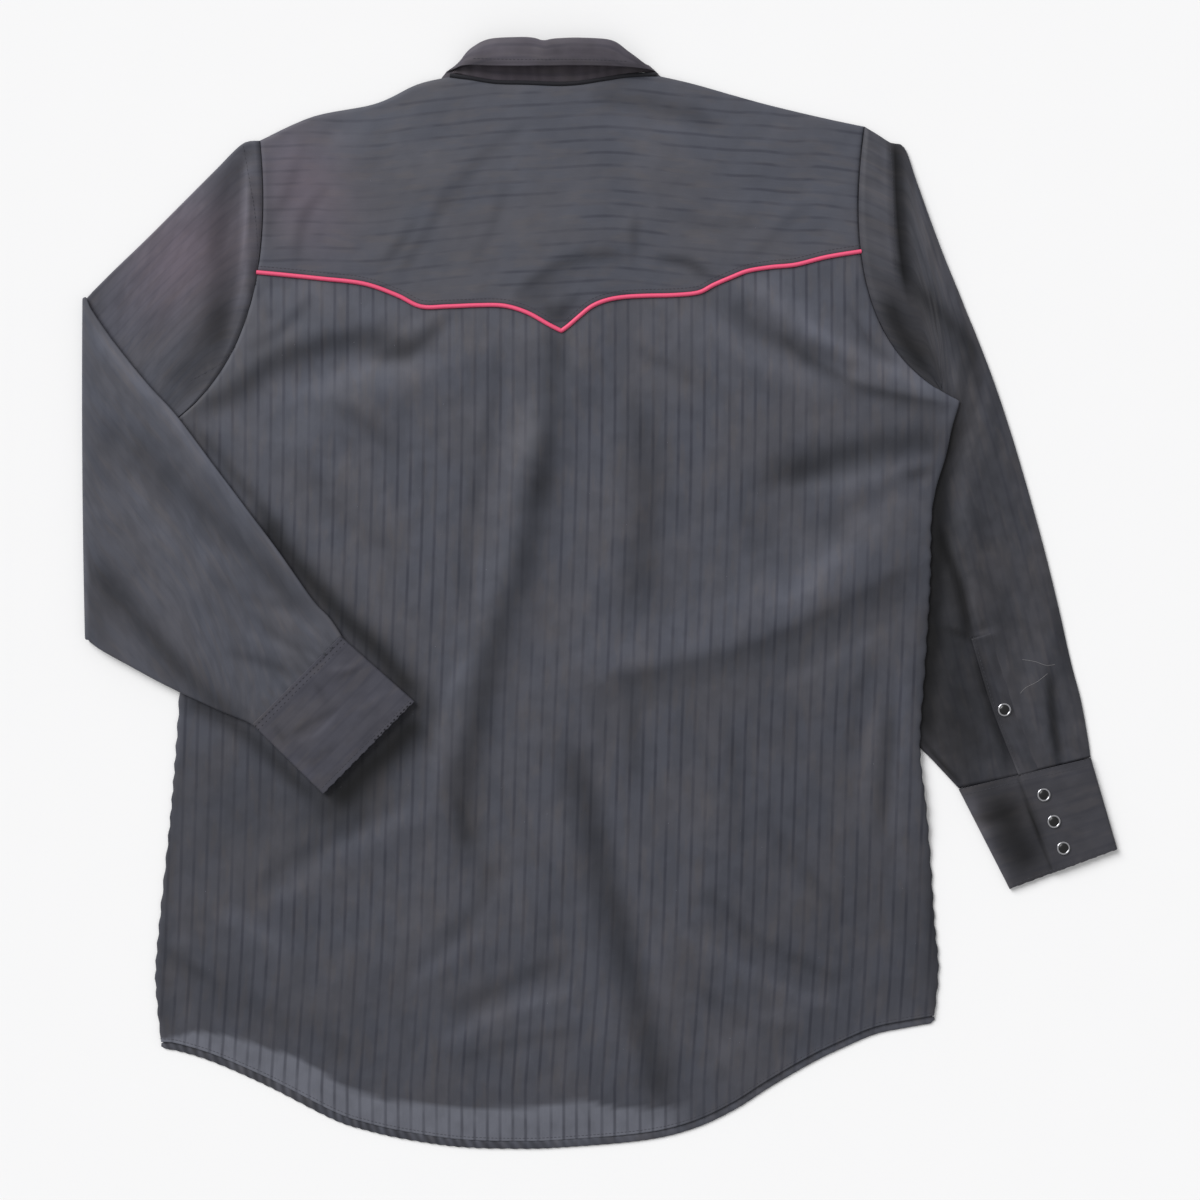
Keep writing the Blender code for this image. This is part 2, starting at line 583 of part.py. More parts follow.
def front_pieces():
    """The two fronts, the band down the left one, and the snaps in the band, face down."""
    half = BAND_WIDTH / 2
    rows = FRONT_ARMHOLE_ROWS + SIDE_ROWS

    left_edge = even(arc(ARMHOLE_LEFT), FRONT_ARMHOLE_ROWS)
    left_edge += even(smooth(SIDE_LEFT[:-1] + [HEM_FRONT_LEFT[0]], 3), SIDE_ROWS)[1:]
    top = even(smooth(SHOULDER_LEFT, 3), 7) + even(smooth(NECK_FRONT_LEFT, 3), FRONT_COLUMNS - 7)[1:]
    bottom = even(smooth(HEM_FRONT_LEFT, 3), FRONT_COLUMNS)
    centre = even([top[-1], bottom[-1]], rows)
    panel("front_left", patch(top, bottom, left_edge, centre), lift)

    right_edge = even(arc(ARMHOLE_RIGHT), FRONT_ARMHOLE_ROWS)
    right_edge += even(smooth(SIDE_RIGHT[:-1] + [HEM_FRONT_RIGHT[-1]], 3), SIDE_ROWS)[1:]
    columns = FRONT_COLUMNS + 6
    top = even(smooth(NECK_FRONT_RIGHT, 3), 9) + even(smooth(SHOULDER_RIGHT, 3), columns - 9)[1:]
    bottom = even(smooth(HEM_FRONT_RIGHT, 3), columns)
    centre = even([top[0], bottom[0]], rows)
    panel("front_right", patch(top, bottom, centre, right_edge), under_right_front)

    xs = [CENTRE_X - half + SEAM / 2, CENTRE_X, CENTRE_X + half]
    lowest = HEM_FRONT_LEFT[-1][1] + 1.0
    ys = [BAND_TOP + (lowest - BAND_TOP) * r / rows for r in range(rows + 1)]
    band = panel("front_band", [[(x, y) for x in xs] for y in ys], lift)
    for number in range(FRONT_SNAPS):
        y = FIRST_SNAP - number * SNAP_SPACING
        cut_hole(band, CENTRE_X, y, PLAIN_SNAP_RADIUS + SEAM)
        plain_snap(f"front_snap_{number + 1}", CENTRE_X, y, lift(CENTRE_X, y))


def cut_hole(thing, x, y, radius):
    """A round hole straight down through a piece."""
    cutter = disc(f"{thing.name}_cutter", x, y, [(radius, -2.0), (radius, 8.0)], CLOTH_FINISH)
    cutter.hide_render = True
    cutter.display_type = "WIRE"
    hole = thing.modifiers.new("snap hole", "BOOLEAN")
    hole.operation = "DIFFERENCE"
    hole.solver = "EXACT"
    hole.object = cutter


def disc(name, x, y, profile, look, sides=16):
    """A turned piece: its profile gives a radius and a height for each ring, from the bottom up."""
    points = []
    for radius, height in profile:
        for k in range(sides):
            turn = 2 * math.pi * k / sides
            points.append((x + radius * math.cos(turn), y + radius * math.sin(turn), height))
    faces = [tuple(reversed(range(sides))), tuple(range(len(points) - sides, len(points)))]
    for r in range(len(profile) - 1):
        for k in range(sides):
            a, b = r * sides + k, r * sides + (k + 1) % sides
            faces.append((a, b, b + sides, a + sides))
    return finish(name, points, faces, look)


def across(row, wall_side):
    """Points across a flattened tube by distance: the outer ring's and the inner ring's."""
    line = arc([(row.outer_x, row.outer_y), (row.bend_x, row.bend_y), (row.inner_x, row.inner_y)])
    total = lengths(line)[-1]
    spans = SLEEVE_POINTS - 3
    middle = [EDGE_ROUND + (total - 2 * EDGE_ROUND) * k / spans for k in range(spans + 1)]
    outer = at_lengths(line, [0.0] + middle + [total])
    inner = at_lengths(line, [wall_side] + middle + [total - wall_side])
    return outer, inner


def ring_of(plan, sides_up, sides_down):
    """A ring from the plan points of a section: its upper side one way, then its lower side back."""
    return [sides_up(k, p) for k, p in enumerate(plan)] + [
        sides_down(k, plan[k]) for k in range(len(plan) - 2, 0, -1)]


def edge_fade(index, count):
    """0 at the two side folds of a tube, 1 on its faces."""
    return 0.0 if index in (0, count - 1) else ramp(min(index, count - 1 - index), 0.0, 2.0)


def right_sleeve():
    """The right sleeve: a flattened tube from the armhole, down under the body's side, to the cuff."""
    outer, inner = [], []
    for row in smooth(RIGHT_SLEEVE, 2):
        settle, crease = max(row.settle, 0.0), max(row.crease, 0.0)
        plan_out, plan_in = across(row, SIDE_WALL)
        count = len(plan_out)

        def base(x, y, settle=settle):
            return lift(x, y) * settle

        def top(index, x, y, crease=crease, count=count, settle=settle):
            pleat = crease * (1.0 - ramp(index / (count - 1), 0.35, 0.8))
            under_body = ramp(nearest_on(RIGHT_SIDE_LINE, x, y), 4.0, 26.0)
            folds = folds_at(RIGHT_FOLDS, x, y) * under_body * (1.0 - settle)
            return base(x, y, settle) + TUBE + (folds + pleat) * edge_fade(index, count)

        def outer_up(k, p):
            level = TUBE / 2 + base(*p) if k in (0, SLEEVE_POINTS - 1) else top(k, *p)
            return (*p, level)

        def outer_down(k, p):
            return (*p, base(*p))

        def inner_up(k, p):
            level = TUBE / 2 + base(*p) if k in (0, SLEEVE_POINTS - 1) else top(k, *p) - CLOTH
            return (*p, level)

        def inner_down(k, p):
            return (*p, base(*p) + CLOTH)

        outer.append(ring_of(plan_out, outer_up, outer_down))
        inner.append(ring_of(plan_in, inner_up, inner_down))
    tube("right_sleeve", outer, inner, CLOTH_FINISH)


def left_sleeve():
    """The left sleeve: a flattened tube, turned over at the elbow so that the forearm crosses the back."""
    low, high = TUBE / 2, FOREARM_BASE + TUBE / 2
    radius = (high - low) / 2
    rows = [(row, 0.0, UPPER_ARM_FOLDS) for row in smooth(LEFT_UPPER_ARM, 2)]
    rows += [(ELBOW, math.pi * k / ELBOW_TURNS, []) for k in range(1, ELBOW_TURNS)]
    rows += [(row, math.pi, FOREARM_FOLDS) for row in smooth(LEFT_FOREARM, 2)]
    outer, inner = [], []
    for row, turn, folds in rows:
        plan_out, plan_in = across(row, SIDE_WALL)
        count = len(plan_out)
        flat = turn in (0.0, math.pi)

        def place(p, side, turn=turn):
            reach = radius - side
            return (p[0] - reach * math.sin(turn), p[1], (low + high) / 2 - reach * math.cos(turn))

        def level(k, p, side, wall_part, turn=turn, folds=folds, flat=flat, count=count):
            if k in (0, count - 1):
                return place(p, 0.0)
            x, y, z = place(p, side * (TUBE / 2 - wall_part))
            shown = side > 0 if turn == 0.0 else side < 0
            if flat and shown:
                z += folds_at(folds, x, y) * edge_fade(k, count)
            return (x, y, z)

        outer.append(ring_of(plan_out, lambda k, p: level(k, p, 1, 0.0),
                             lambda k, p: level(k, p, -1, 0.0)))
        inner.append(ring_of(plan_in, lambda k, p: level(k, p, 1, CLOTH),
                             lambda k, p: level(k, p, -1, CLOTH)))
    tube("left_sleeve", outer, inner, CLOTH_FINISH)


def cuff(name, ends, base, lap=None):
    """A cuff: a short flattened tube of doubled cloth, with the lapped end raised where it shows."""
    height = 2 * CUFF_CLOTH + SEAM
    outer, inner = [], []
    for r in range(CUFF_ROWS + 1):
        a = mix(ends.seam_from, ends.end_from, r / CUFF_ROWS)
        b = mix(ends.seam_to, ends.end_to, r / CUFF_ROWS)
        width = math.dist(a, b)
        places = [0.0] + [EDGE_ROUND + (width - 2 * EDGE_ROUND) * k / (SLEEVE_POINTS - 3)
                          for k in range(SLEEVE_POINTS - 2)] + [width]
        if lap:
            edge = mix(lap[0], lap[1], r / CUFF_ROWS)
            reach = math.dist(a, edge)
            near = min(range(2, SLEEVE_POINTS - 2), key=lambda k: abs(places[k] - reach))
            places[near] = reach
            places[near + 1] = reach + 1.0
        plan_out = at_lengths([a, b], places)
        plan_in = at_lengths([a, b], [CUFF_CLOTH] + places[1:-1] + [width - CUFF_CLOTH])

        def level(k, p, up, wall_part):
            if k in (0, SLEEVE_POINTS - 1):
                return (*p, base + height / 2)
            if not up:
                return (*p, base + wall_part)
            raise_by = LAP_RAISE if lap and k <= near else 0.0
            return (*p, base + height + (raise_by if wall_part == 0.0 else 0.0) - wall_part)

        outer.append(ring_of(plan_out, lambda k, p: level(k, p, True, 0.0),
                             lambda k, p: level(k, p, False, 0.0)))
        inner.append(ring_of(plan_in, lambda k, p: level(k, p, True, CUFF_CLOTH),
                             lambda k, p: level(k, p, False, CUFF_CLOTH)))
    tube(name, outer, inner, CLOTH_FINISH)


def sleeve_top(x, y):
    """Top of the right sleeve's cloth near its placket."""
    return TUBE + folds_at(RIGHT_FOLDS, x, y)


def placket():
    """The strip that finishes the slit of the right sleeve, above the cuff."""
    edge = even(smooth(PLACKET_EDGE, 4), 8)
    sides = [beside(edge, PLACKET_WIDTH * k / 3) for k in range(4)]
    grid = [[side[r] for side in sides] for r in range(len(edge))]
    panel("right_sleeve_placket", grid, lambda x, y: sleeve_top(x, y) + SEAM + 0.25)


def plain_snap(name, x, y, base):
    """A snap that is hidden: a flat metal disc as thick as the cloth."""
    disc(name, x, y, [(PLAIN_SNAP_RADIUS, base), (PLAIN_SNAP_RADIUS, base + CLOTH)], RING_FINISH)


def snap(name, x, y, base):
    """A snap that shows: a metal ring with a black domed cap in it."""
    sides = 20
    turns = [2 * math.pi * k / sides for k in range(sides)]
    profile = [(RING_RADIUS, 0.0), (RING_RADIUS, RING_HEIGHT * 0.6), (RING_RADIUS - 0.5, RING_HEIGHT),
               (CAP_RADIUS + 0.5, RING_HEIGHT), (CAP_RADIUS + SEAM, RING_HEIGHT * 0.6),
               (CAP_RADIUS + SEAM, 0.0)]
    rings = [[(x + radius * math.cos(turn), y + radius * math.sin(turn), base + height) for turn in turns]
             for radius, height in profile]
    points = [p for line in rings for p in line]
    faces = []
    for r in range(len(rings)):
        for k in range(sides):
            a, b = r * sides + k, r * sides + (k + 1) % sides
            d, e = (r + 1) % len(rings) * sides + k, (r + 1) % len(rings) * sides + (k + 1) % sides
            faces.append((a, b, e, d))
    finish(name + "_ring", points, faces, RING_FINISH)
    dome = [(CAP_RADIUS, base), (CAP_RADIUS, base + CAP_HEIGHT * 0.5),
            (CAP_RADIUS * 0.8, base + CAP_HEIGHT * 0.85), (CAP_RADIUS * 0.4, base + CAP_HEIGHT)]
    disc(name + "_cap", x, y, dome, CAP_FINISH)


def snaps():
    """The snaps of the right sleeve, and those under the left cuff."""
    cuff_top = 2 * CUFF_CLOTH + SEAM + LAP_RAISE + SEAM
    for name, (x, y) in RIGHT_SNAPS.items():
        on_placket = max(sleeve_top(x + dx, y + dy) for dx in (-7, 0, 7) for dy in (-7, 0, 7))
        base = on_placket + SEAM + 0.25 + CLOTH + SEAM if "placket" in name else cuff_top
        snap(name, x, y, base)
    for name, (x, y) in LEFT_SNAPS.items():
        plain_snap(name, x, y, FOREARM_BASE - SEAM - CLOTH)


def strip(name, lines):
    """A bent strip of cloth: rows of 3D points across it, thickened both ways along its normals."""
    rows, columns = len(lines), len(lines[0])
    lower, upper = [], []
    for r in range(rows):
        low_line, high_line = [], []
        for c in range(columns):
            along = Vector(lines[min(r + 1, rows - 1)][c]) - Vector(lines[max(r - 1, 0)][c])
            sideways = Vector(lines[r][min(c + 1, columns - 1)]) - Vector(lines[r][max(c - 1, 0)])
            normal = along.cross(sideways).normalized()
            for side, line in ((-0.5, low_line), (0.5, high_line)):
                x, y, z = Vector(lines[r][c]) + normal * CLOTH * side
                line.append((x, y, max(z, 0.0)))
        lower.append(low_line)
        upper.append(high_line)
    wall(name, lower, upper, CLOTH_FINISH)


def collar():
    """The stand, from the front centre round the neck, and the leaf that turns down over it."""
    parts = [k / STRIP_POINTS for k in range(STRIP_POINTS + 1)]
    stand = []
    for row in smooth(COLLAR_STAND, 2):
        seam = (row.seam_x, row.seam_y, row.seam_z)
        top = (row.top_x, row.top_y, row.top_z)
        stand.append([mix(seam, top, part) for part in parts])
    strip("collar_stand", stand)
    leaf = []
    for row in smooth(COLLAR_LEAF, 2):
        roll = (row.roll_x, row.roll_y, row.roll_z)
        edge = (row.edge_x, row.edge_y, row.edge_z)
        bend = (row.roll_x, row.roll_y + row.crown * 0.6, (row.roll_z + row.edge_z) / 2 + 2 * row.crown)
        leaf.append([mix(mix(roll, bend, part), mix(bend, edge, part), part) for part in parts])
    strip("collar_leaf", leaf)


def main():
    """Clear the scene and build every piece."""
    for thing in list(bpy.data.objects):
        bpy.data.objects.remove(thing, do_unlink=True)
    back_pieces()
    front_pieces()
    right_sleeve()
    left_sleeve()
    cuff("right_cuff", RIGHT_CUFF, 0.0, CUFF_LAP)
    cuff("left_cuff", LEFT_CUFF, FOREARM_BASE)
    placket()
    snaps()
    collar()


main()
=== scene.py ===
"""The looks of a western snap shirt that lies flat on its front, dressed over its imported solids.

Every cloth piece is a thin shell that lies on its solid, with finer folds, seams and stitches.
Lengths in the tables are millimetres in the frame in which the shirt was cut and laid out.
"""

import logging
import math
from dataclasses import dataclass
from enum import Enum
from typing import Callable, ClassVar, Optional, Sequence

import bpy
import numpy as np
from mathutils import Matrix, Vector
from mathutils.bvhtree import BVHTree


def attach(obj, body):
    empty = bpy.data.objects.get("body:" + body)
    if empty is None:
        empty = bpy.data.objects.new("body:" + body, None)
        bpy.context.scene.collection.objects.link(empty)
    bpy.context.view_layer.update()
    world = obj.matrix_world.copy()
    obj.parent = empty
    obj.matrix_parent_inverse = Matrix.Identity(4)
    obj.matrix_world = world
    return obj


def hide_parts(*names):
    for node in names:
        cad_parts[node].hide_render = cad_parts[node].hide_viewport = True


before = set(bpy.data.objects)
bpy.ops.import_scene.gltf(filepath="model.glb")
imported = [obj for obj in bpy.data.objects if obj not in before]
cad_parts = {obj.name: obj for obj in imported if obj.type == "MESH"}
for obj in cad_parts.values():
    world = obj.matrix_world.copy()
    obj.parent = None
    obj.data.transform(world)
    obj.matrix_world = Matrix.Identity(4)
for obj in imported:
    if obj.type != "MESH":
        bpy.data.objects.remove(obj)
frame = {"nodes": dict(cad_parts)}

log = logging.getLogger("shirt")

MM = 0.001
CENTRE = np.array([0.3, -1.35])     # the outline's middle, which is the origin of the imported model
TINY = 1e-9                         # keeps a division away from zero

Pair = tuple[float, float]
Line = Sequence[Pair]
Grid = np.ndarray
Piece = bpy.types.Object
Material = bpy.types.Material
Socket = bpy.types.NodeSocket
GrowthTree = bpy.types.GeometryNodeTree


# ---------------------------------------------------------------- lines and grids in the plane

def smooth_line(points: Sequence[Sequence[float]], steps: int = 8) -> Grid:
    """A smooth line through points of any number of values.

    Args:
        points: The places the line passes through.
        steps: How many spans lie between two of them.

    Returns:
        The finer line, one row for each place on it.
    """
    given = np.asarray(points, float)
    last = len(given) - 1
    parts = np.arange(steps)[:, None] / steps
    spans = []
    for index in range(last):
        before, start = given[max(index - 1, 0)], given[index]
        end, after = given[index + 1], given[min(index + 2, last)]
        spans.append(start + 0.5 * parts * ((end - before) + parts * (
            (2 * before - 5 * start + 4 * end - after) + parts * (3 * start - before - 3 * end + after))))
    return np.vstack(spans + [given[last:]])


def lengths(points: Grid) -> Grid:
    """The distance along a line at each of its points."""
    steps = np.linalg.norm(np.diff(points[:, :2], axis=0), axis=1)
    return np.concatenate([[0.0], np.cumsum(steps)])


def at_parts(points: Grid, parts: Grid) -> Grid:
    """The places on a line at parts of its length.

    Args:
        points: The line.
        parts: Numbers from 0 at its start to 1 at its end.

    Returns:
        One row for each part.
    """
    along = lengths(points)
    return np.stack([np.interp(parts * along[-1], along, column) for column in points.T], axis=1)


def bent(start: Pair, bend: Pair, end: Pair, steps: int = 32) -> Grid:
    """A curve from start to end that bends towards a third point."""
    part = np.linspace(0.0, 1.0, steps + 1)[:, None]
    first = (1 - part) * np.array(start) + part * np.array(bend)
    second = (1 - part) * np.array(bend) + part * np.array(end)
    return (1 - part) * first + part * second


def beside(points: Grid, distance: float) -> Grid:
    """A line moved sideways in the plane, to its left where the distance is positive."""
    along = np.gradient(points[:, :2], axis=0)
    normal = np.stack([-along[:, 1], along[:, 0]], axis=1)
    normal /= np.maximum(np.linalg.norm(normal, axis=1, keepdims=True), TINY)
    return points[:, :2] + normal * distance


def ramp(value: Grid, start: float, end: float) -> Grid:
    """0 at start and 1 at end, smooth in between, for numbers or arrays."""
    part = np.clip((np.asarray(value, float) - start) / (end - start), 0.0, 1.0)
    return part * part * (3.0 - 2.0 * part)


def bell(distance: Grid, width: float, place: float = 0.0) -> Grid:
    """1 at a place, falling smoothly to 0 on both sides of it."""
    return np.exp(-((distance - place) / width) ** 2)


def drop(distance: Grid, reach: float) -> Grid:
    """1 at an edge and 0 from its reach on, as a rounded edge falls away."""
    return np.clip(1 - distance / reach, 0, 1) ** 2


def wavy(along: Grid, pitch: float, sway: float, sway_pitch: float) -> Grid:
    """A wave whose pitch wanders by a slower wave."""
    return np.sin(along / pitch + sway * np.sin(along / sway_pitch))


def graded(width: float, step: float, edges: Sequence[float] = (0.8, 2.0, 4.0)) -> Grid:
    """Parts from 0 to 1 with even steps, and closer ones beside both ends.

    Args:
        width: The real width in millimetres.
        step: The even step.
        edges: Distances from each end at which there is one more place.

    Returns:
        The sorted parts.
    """
    close = np.array(edges) / width
    count = max(int(round((width - 2 * edges[-1]) / step)), 2)
    middle = np.linspace(close[-1], 1 - close[-1], count + 1)
    return np.concatenate([[0.0], close[:-1], middle, 1 - close[:-1][::-1], [1.0]])


def coons(top: Grid, bottom: Grid, left: Grid, right: Grid, across: Grid, down: Grid) -> Grid:
    """A grid between four lines that share their corners.

    Args:
        top: Places on the top line, one for each part across.
        bottom: The same on the bottom line.
        left: Places on the left line, one for each part down.
        right: The same on the right line.
        across: The parts across, from 0 to 1.
        down: The parts down, from 0 to 1.

    Returns:
        An array of rows, columns and two coordinates.
    """
    u, v = across[None, :, None], down[:, None, None]
    sides = (1 - u) * left[:, None] + u * right[:, None]
    ends = (1 - v) * top[None] + v * bottom[None]
    corners = (1 - v) * ((1 - u) * top[0] + u * top[-1]) + v * ((1 - u) * bottom[0] + u * bottom[-1])
    return sides + ends - corners


def beside_line(line: Grid, plan: Grid) -> tuple[Grid, Grid]:
    """Where places lie beside a line.

    Args:
        line: The line's points.
        plan: Places, whose last axis is x and y.

    Returns:
        The distance of each place, positive to the left of the line, and its place along it.
    """
    flat = plan.reshape(-1, 2)
    best = np.full(len(flat), np.inf)
    side, along = np.ones(len(flat)), np.zeros(len(flat))
    total = lengths(line)
    for index in range(len(line) - 1):
        start, step = line[index, :2], line[index + 1, :2] - line[index, :2]
        square = max(float(step @ step), TINY)
        offset = flat - start
        part = np.clip(offset @ step / square, 0.0, 1.0)
        away = np.hypot(*(offset - part[:, None] * step).T)
        nearer = away < best
        best[nearer] = away[nearer]
        cross = step[0] * offset[:, 1] - step[1] * offset[:, 0]
        side[nearer] = np.where(cross[nearer] >= 0, 1.0, -1.0)
        along[nearer] = (total[index] + part * math.sqrt(square))[nearer]
    shape = plan.shape[:-1]
    return (best * side).reshape(shape), along.reshape(shape)


def relaxed(heights: Grid, rounds: int) -> Grid:
    """Heights evened out with those of their neighbours, as cloth bridges the edges under it."""
    for _ in range(rounds):
        padded = np.pad(heights, 1, mode="edge")
        near = padded[:-2, 1:-1] + padded[2:, 1:-1] + padded[1:-1, :-2] + padded[1:-1, 2:]
        heights = 0.5 * heights + 0.125 * near
    return heights


def border_distances(plan: Grid) -> dict[str, Grid]:
    """How far each place of a grid lies from its four borders and the nearer side, measured along it.

    Args:
        plan: The grid's places.

    Returns:
        The distances, by the border's name.
    """
    across = np.linalg.norm(np.diff(plan, axis=1), axis=2)
    down = np.linalg.norm(np.diff(plan, axis=0), axis=2)
    left = np.concatenate([np.zeros((plan.shape[0], 1)), np.cumsum(across, axis=1)], axis=1)
    top = np.concatenate([np.zeros((1, plan.shape[1])), np.cumsum(down, axis=0)], axis=0)
    right = left[:, -1:] - left
    return {"left": left, "right": right, "sides": np.minimum(left, right), "top": top,
            "bottom": top[-1:] - top}


# ---------------------------------------------------------------- folds and tones

@dataclass(frozen=True)
class Patch:
    """A soft oval on the cloth: its middle, its half sizes, its turn in degrees and its amount."""

    x: float
    y: float
    long: float
    short: float
    turn: float
    amount: float

    def at(self, plan: Grid) -> Grid:
        """The patch's amount at each place of a plan."""
        angle = math.radians(self.turn)
        dx, dy = plan[..., 0] - self.x, plan[..., 1] - self.y
        along = dx * math.cos(angle) + dy * math.sin(angle)
        aside = dy * math.cos(angle) - dx * math.sin(angle)
        return self.amount * np.exp(-((along / self.long) ** 2) - ((aside / self.short) ** 2))


@dataclass(frozen=True)
class Fold:
    """A slope in the cloth along a smooth line, raised in the cloth and also painted darker where it falls
    away from the light, or painted lighter.

    width is how far it reaches, shade how much lighter it is painted in the middle, and crisp the share of
    the width on its lit side, which is small where a fold ends in an edge.
    """

    course: Line
    width: float
    shade: float
    crisp: float = 1.0
    steepness: ClassVar[float] = 2.8        # height in millimetres for a full change of shade
    end_length: ClassVar[float] = 14.0      # over which a fold fades out
    end_share: ClassVar[float] = 0.35       # and at most this share of its length

    def along(self, plan: Grid) -> tuple[Grid, Grid]:
        """How far each place lies to the lit side, in widths, and how near the fold's ends it is.

        Args:
            plan: Places in the plane.

        Returns:
            The distance to the lit side in widths, and a share that falls to 0 past both ends.
        """
        line = smooth_line(self.course, 5)
        if (line[-1] - line[0]).sum() < 0:
            line = line[::-1]
        away, along = beside_line(line, plan)
        total = lengths(line)[-1]
        soft = min(self.end_share, self.end_length / total)
        part = along / total
        reach = np.where(away > 0, self.width * self.crisp, self.width)
        return away / reach, ramp(part, -soft, soft) * (1.0 - ramp(part, 1.0 - soft, 1.0 + soft))

    def at(self, plan: Grid) -> Grid:
        """The fold's painted shade at each place of a plan."""
        away, ends = self.along(plan)
        return self.shade * np.exp(-(away ** 2)) * ends

    def height(self, plan: Grid) -> Grid:
        """The fold's height at each place of a plan."""
        away, ends = self.along(plan)
        return -self.steepness * self.shade * away * np.exp(-(away ** 2)) * ends


@dataclass(frozen=True)
class Puckers:
    """Small ridges across a seam, where its stitches draw the cloth in."""

    course: Line
    pitch: float
    reach: float
    rise: float
    aside: float = 0.0
    sway: ClassVar[float] = 1.7             # how far their pitch wanders
    slant: ClassVar[float] = 0.03           # how much they lean over
    weakest: ClassVar[float] = 0.3          # the lowest one's share of the rise

    def at(self, plan: Grid) -> Grid:
        """The puckers' height at each place of a plan.

        Args:
            plan: Places in the plane.

        Returns:
            The heights, in millimetres.
        """
        line = smooth_line(self.course, 6)
        away, along = beside_line(line, plan)
        total = lengths(line)[-1]
        wander = self.sway * np.sin(along / (1.9 * self.pitch))
        phase = 2 * math.pi * along / self.pitch + wander + self.slant * away
        half = (1.0 - self.weakest) / 2
        uneven = 1.0 - half + half * np.sin(along / (2.7 * self.pitch) + 1.0)
        inside = ramp(along, 0.0, self.pitch) * ramp(total - along, 0.0, self.pitch)
        return self.rise * uneven * inside * np.sin(phase) * bell(away, self.reach, self.aside)


Mark = Patch | Fold | Puckers

# Painted light: how light the whole shirt is painted, and how that changes for each millimetre up and to the
# right, as the light falls from the upper left
PAINTED_LIGHT, PAINTED_LIGHT_UP, PAINTED_LIGHT_RIGHT = 0.97, 0.0004, -0.00008

# The waves of the cloth's unevenness: how fast each runs across and up, its share of the seed, its height
WAVES = ((1.3, 0.7, 1.0, 1.0), (-0.8, 1.9, 2.1, 1.0), (2.3, -1.1, 3.7, 0.7), (0.4, 3.1, -1.0, 0.5))
WAVES_HIGHEST = 2.4


def total_at(marks: Sequence[Mark], plan: Grid) -> Grid:
    """The sum of patches, folds or puckers at each place of a plan."""
    result = np.zeros(plan.shape[:-1])
    for mark in marks:
        result += mark.at(plan)
    return result


def height_at(marks: Sequence[Mark], plan: Grid) -> Grid:
    """The sum of the folds' heights at each place of a plan; patches are flat."""
    result = np.zeros(plan.shape[:-1])
    for mark in marks:
        if isinstance(mark, Fold):
            result += mark.height(plan)
    return result


def shade_at(marks: Sequence[Mark], plan: Grid, share: float = 0.95) -> Grid:
    """The painted light and shade at each place of a plan, from its folds and a painted fall of the light."""
    light = np.ones(plan.shape[:-1])
    for mark in marks:
        light *= 1.0 + share * mark.at(plan)
    return light * (PAINTED_LIGHT + PAINTED_LIGHT_UP * plan[..., 1] + PAINTED_LIGHT_RIGHT * plan[..., 0])


def ripple(plan: Grid, pitch: float, seed: float) -> Grid:
    """A gentle unevenness between about -1 and 1, made of a few crossing waves."""
    x, y = plan[..., 0] / pitch, plan[..., 1] / pitch
    waves = sum(high * np.sin(across * x + up * y + turn * seed) for across, up, turn, high in WAVES)
    return waves / WAVES_HIGHEST


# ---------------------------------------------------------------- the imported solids

class Solids:
    """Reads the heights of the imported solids, so that each shell lies on its own."""

    far: ClassVar[float] = 0.1      # metres above and below the shirt, from where it is probed
    near: ClassVar[float] = 0.01    # and from where the nearest face is looked for

    def __init__(self, nodes: dict[str, Piece]) -> None:
        """Keep the nodes, whose trees are made when they are first asked for."""
        self.nodes = nodes
        self.trees: dict[str, BVHTree] = {}

    def tree(self, node: str) -> BVHTree:
        """The search tree of one node's faces."""
        if node not in self.trees:
            mesh = self.nodes[node].data
            places = [vertex.co.copy() for vertex in mesh.vertices]
            self.trees[node] = BVHTree.FromPolygons(places, [tuple(face.vertices) for face in mesh.polygons])
        return self.trees[node]

    def heights(self, node: str, plan: Grid, from_above: bool = True) -> Grid:
        """Heights of a node's upper or lower side.

        Args:
            node: The node's name.
            plan: Places in the cutting frame.
            from_above: Whether to read the upper side.

        Returns:
            A height in millimetres for each place; beside the node, its nearest one.
        """
        tree = self.tree(node)
        start, way = (self.far, Vector((0, 0, -1))) if from_above else (-self.far, Vector((0, 0, 1)))
        result = []
        for x, y in (plan.reshape(-1, 2) - CENTRE) * MM:
            hit = tree.ray_cast(Vector((x, y, start)), way)[0]
            if hit is None:
                hit = tree.find_nearest(Vector((x, y, self.near if from_above else 0.0)))[0]
            result.append(hit.z / MM)
        return np.array(result).reshape(plan.shape[:-1])


# ---------------------------------------------------------------- node trees and shader expressions

class Tree:
    """A node tree in the making."""

    def __init__(self, tree: bpy.types.NodeTree) -> None:
        """Keep the tree that the nodes go into."""
        self.tree = tree

    def add(self, kind: str, settings: dict[str, object], inputs: dict[int | str, object],
            output: int | str = 0) -> Socket:
        """Add a node, with its settings made first and its sockets filled after.

        Args:
            kind: The node's type.
            settings: Its properties by name.
            inputs: Values, sockets or terms by the socket's name or number.
            output: Which of its outputs is wanted.

        Returns:
            That output.
        """
        node = self.tree.nodes.new(kind)
        for name, value in settings.items():
            setattr(node, name, value)
        for name, value in inputs.items():
            source = value.socket if isinstance(value, Term) else value
            if isinstance(source, Socket):
                self.tree.links.new(source, node.inputs[name])
            else:
                node.inputs[name].default_value = value
        return node.outputs[output]


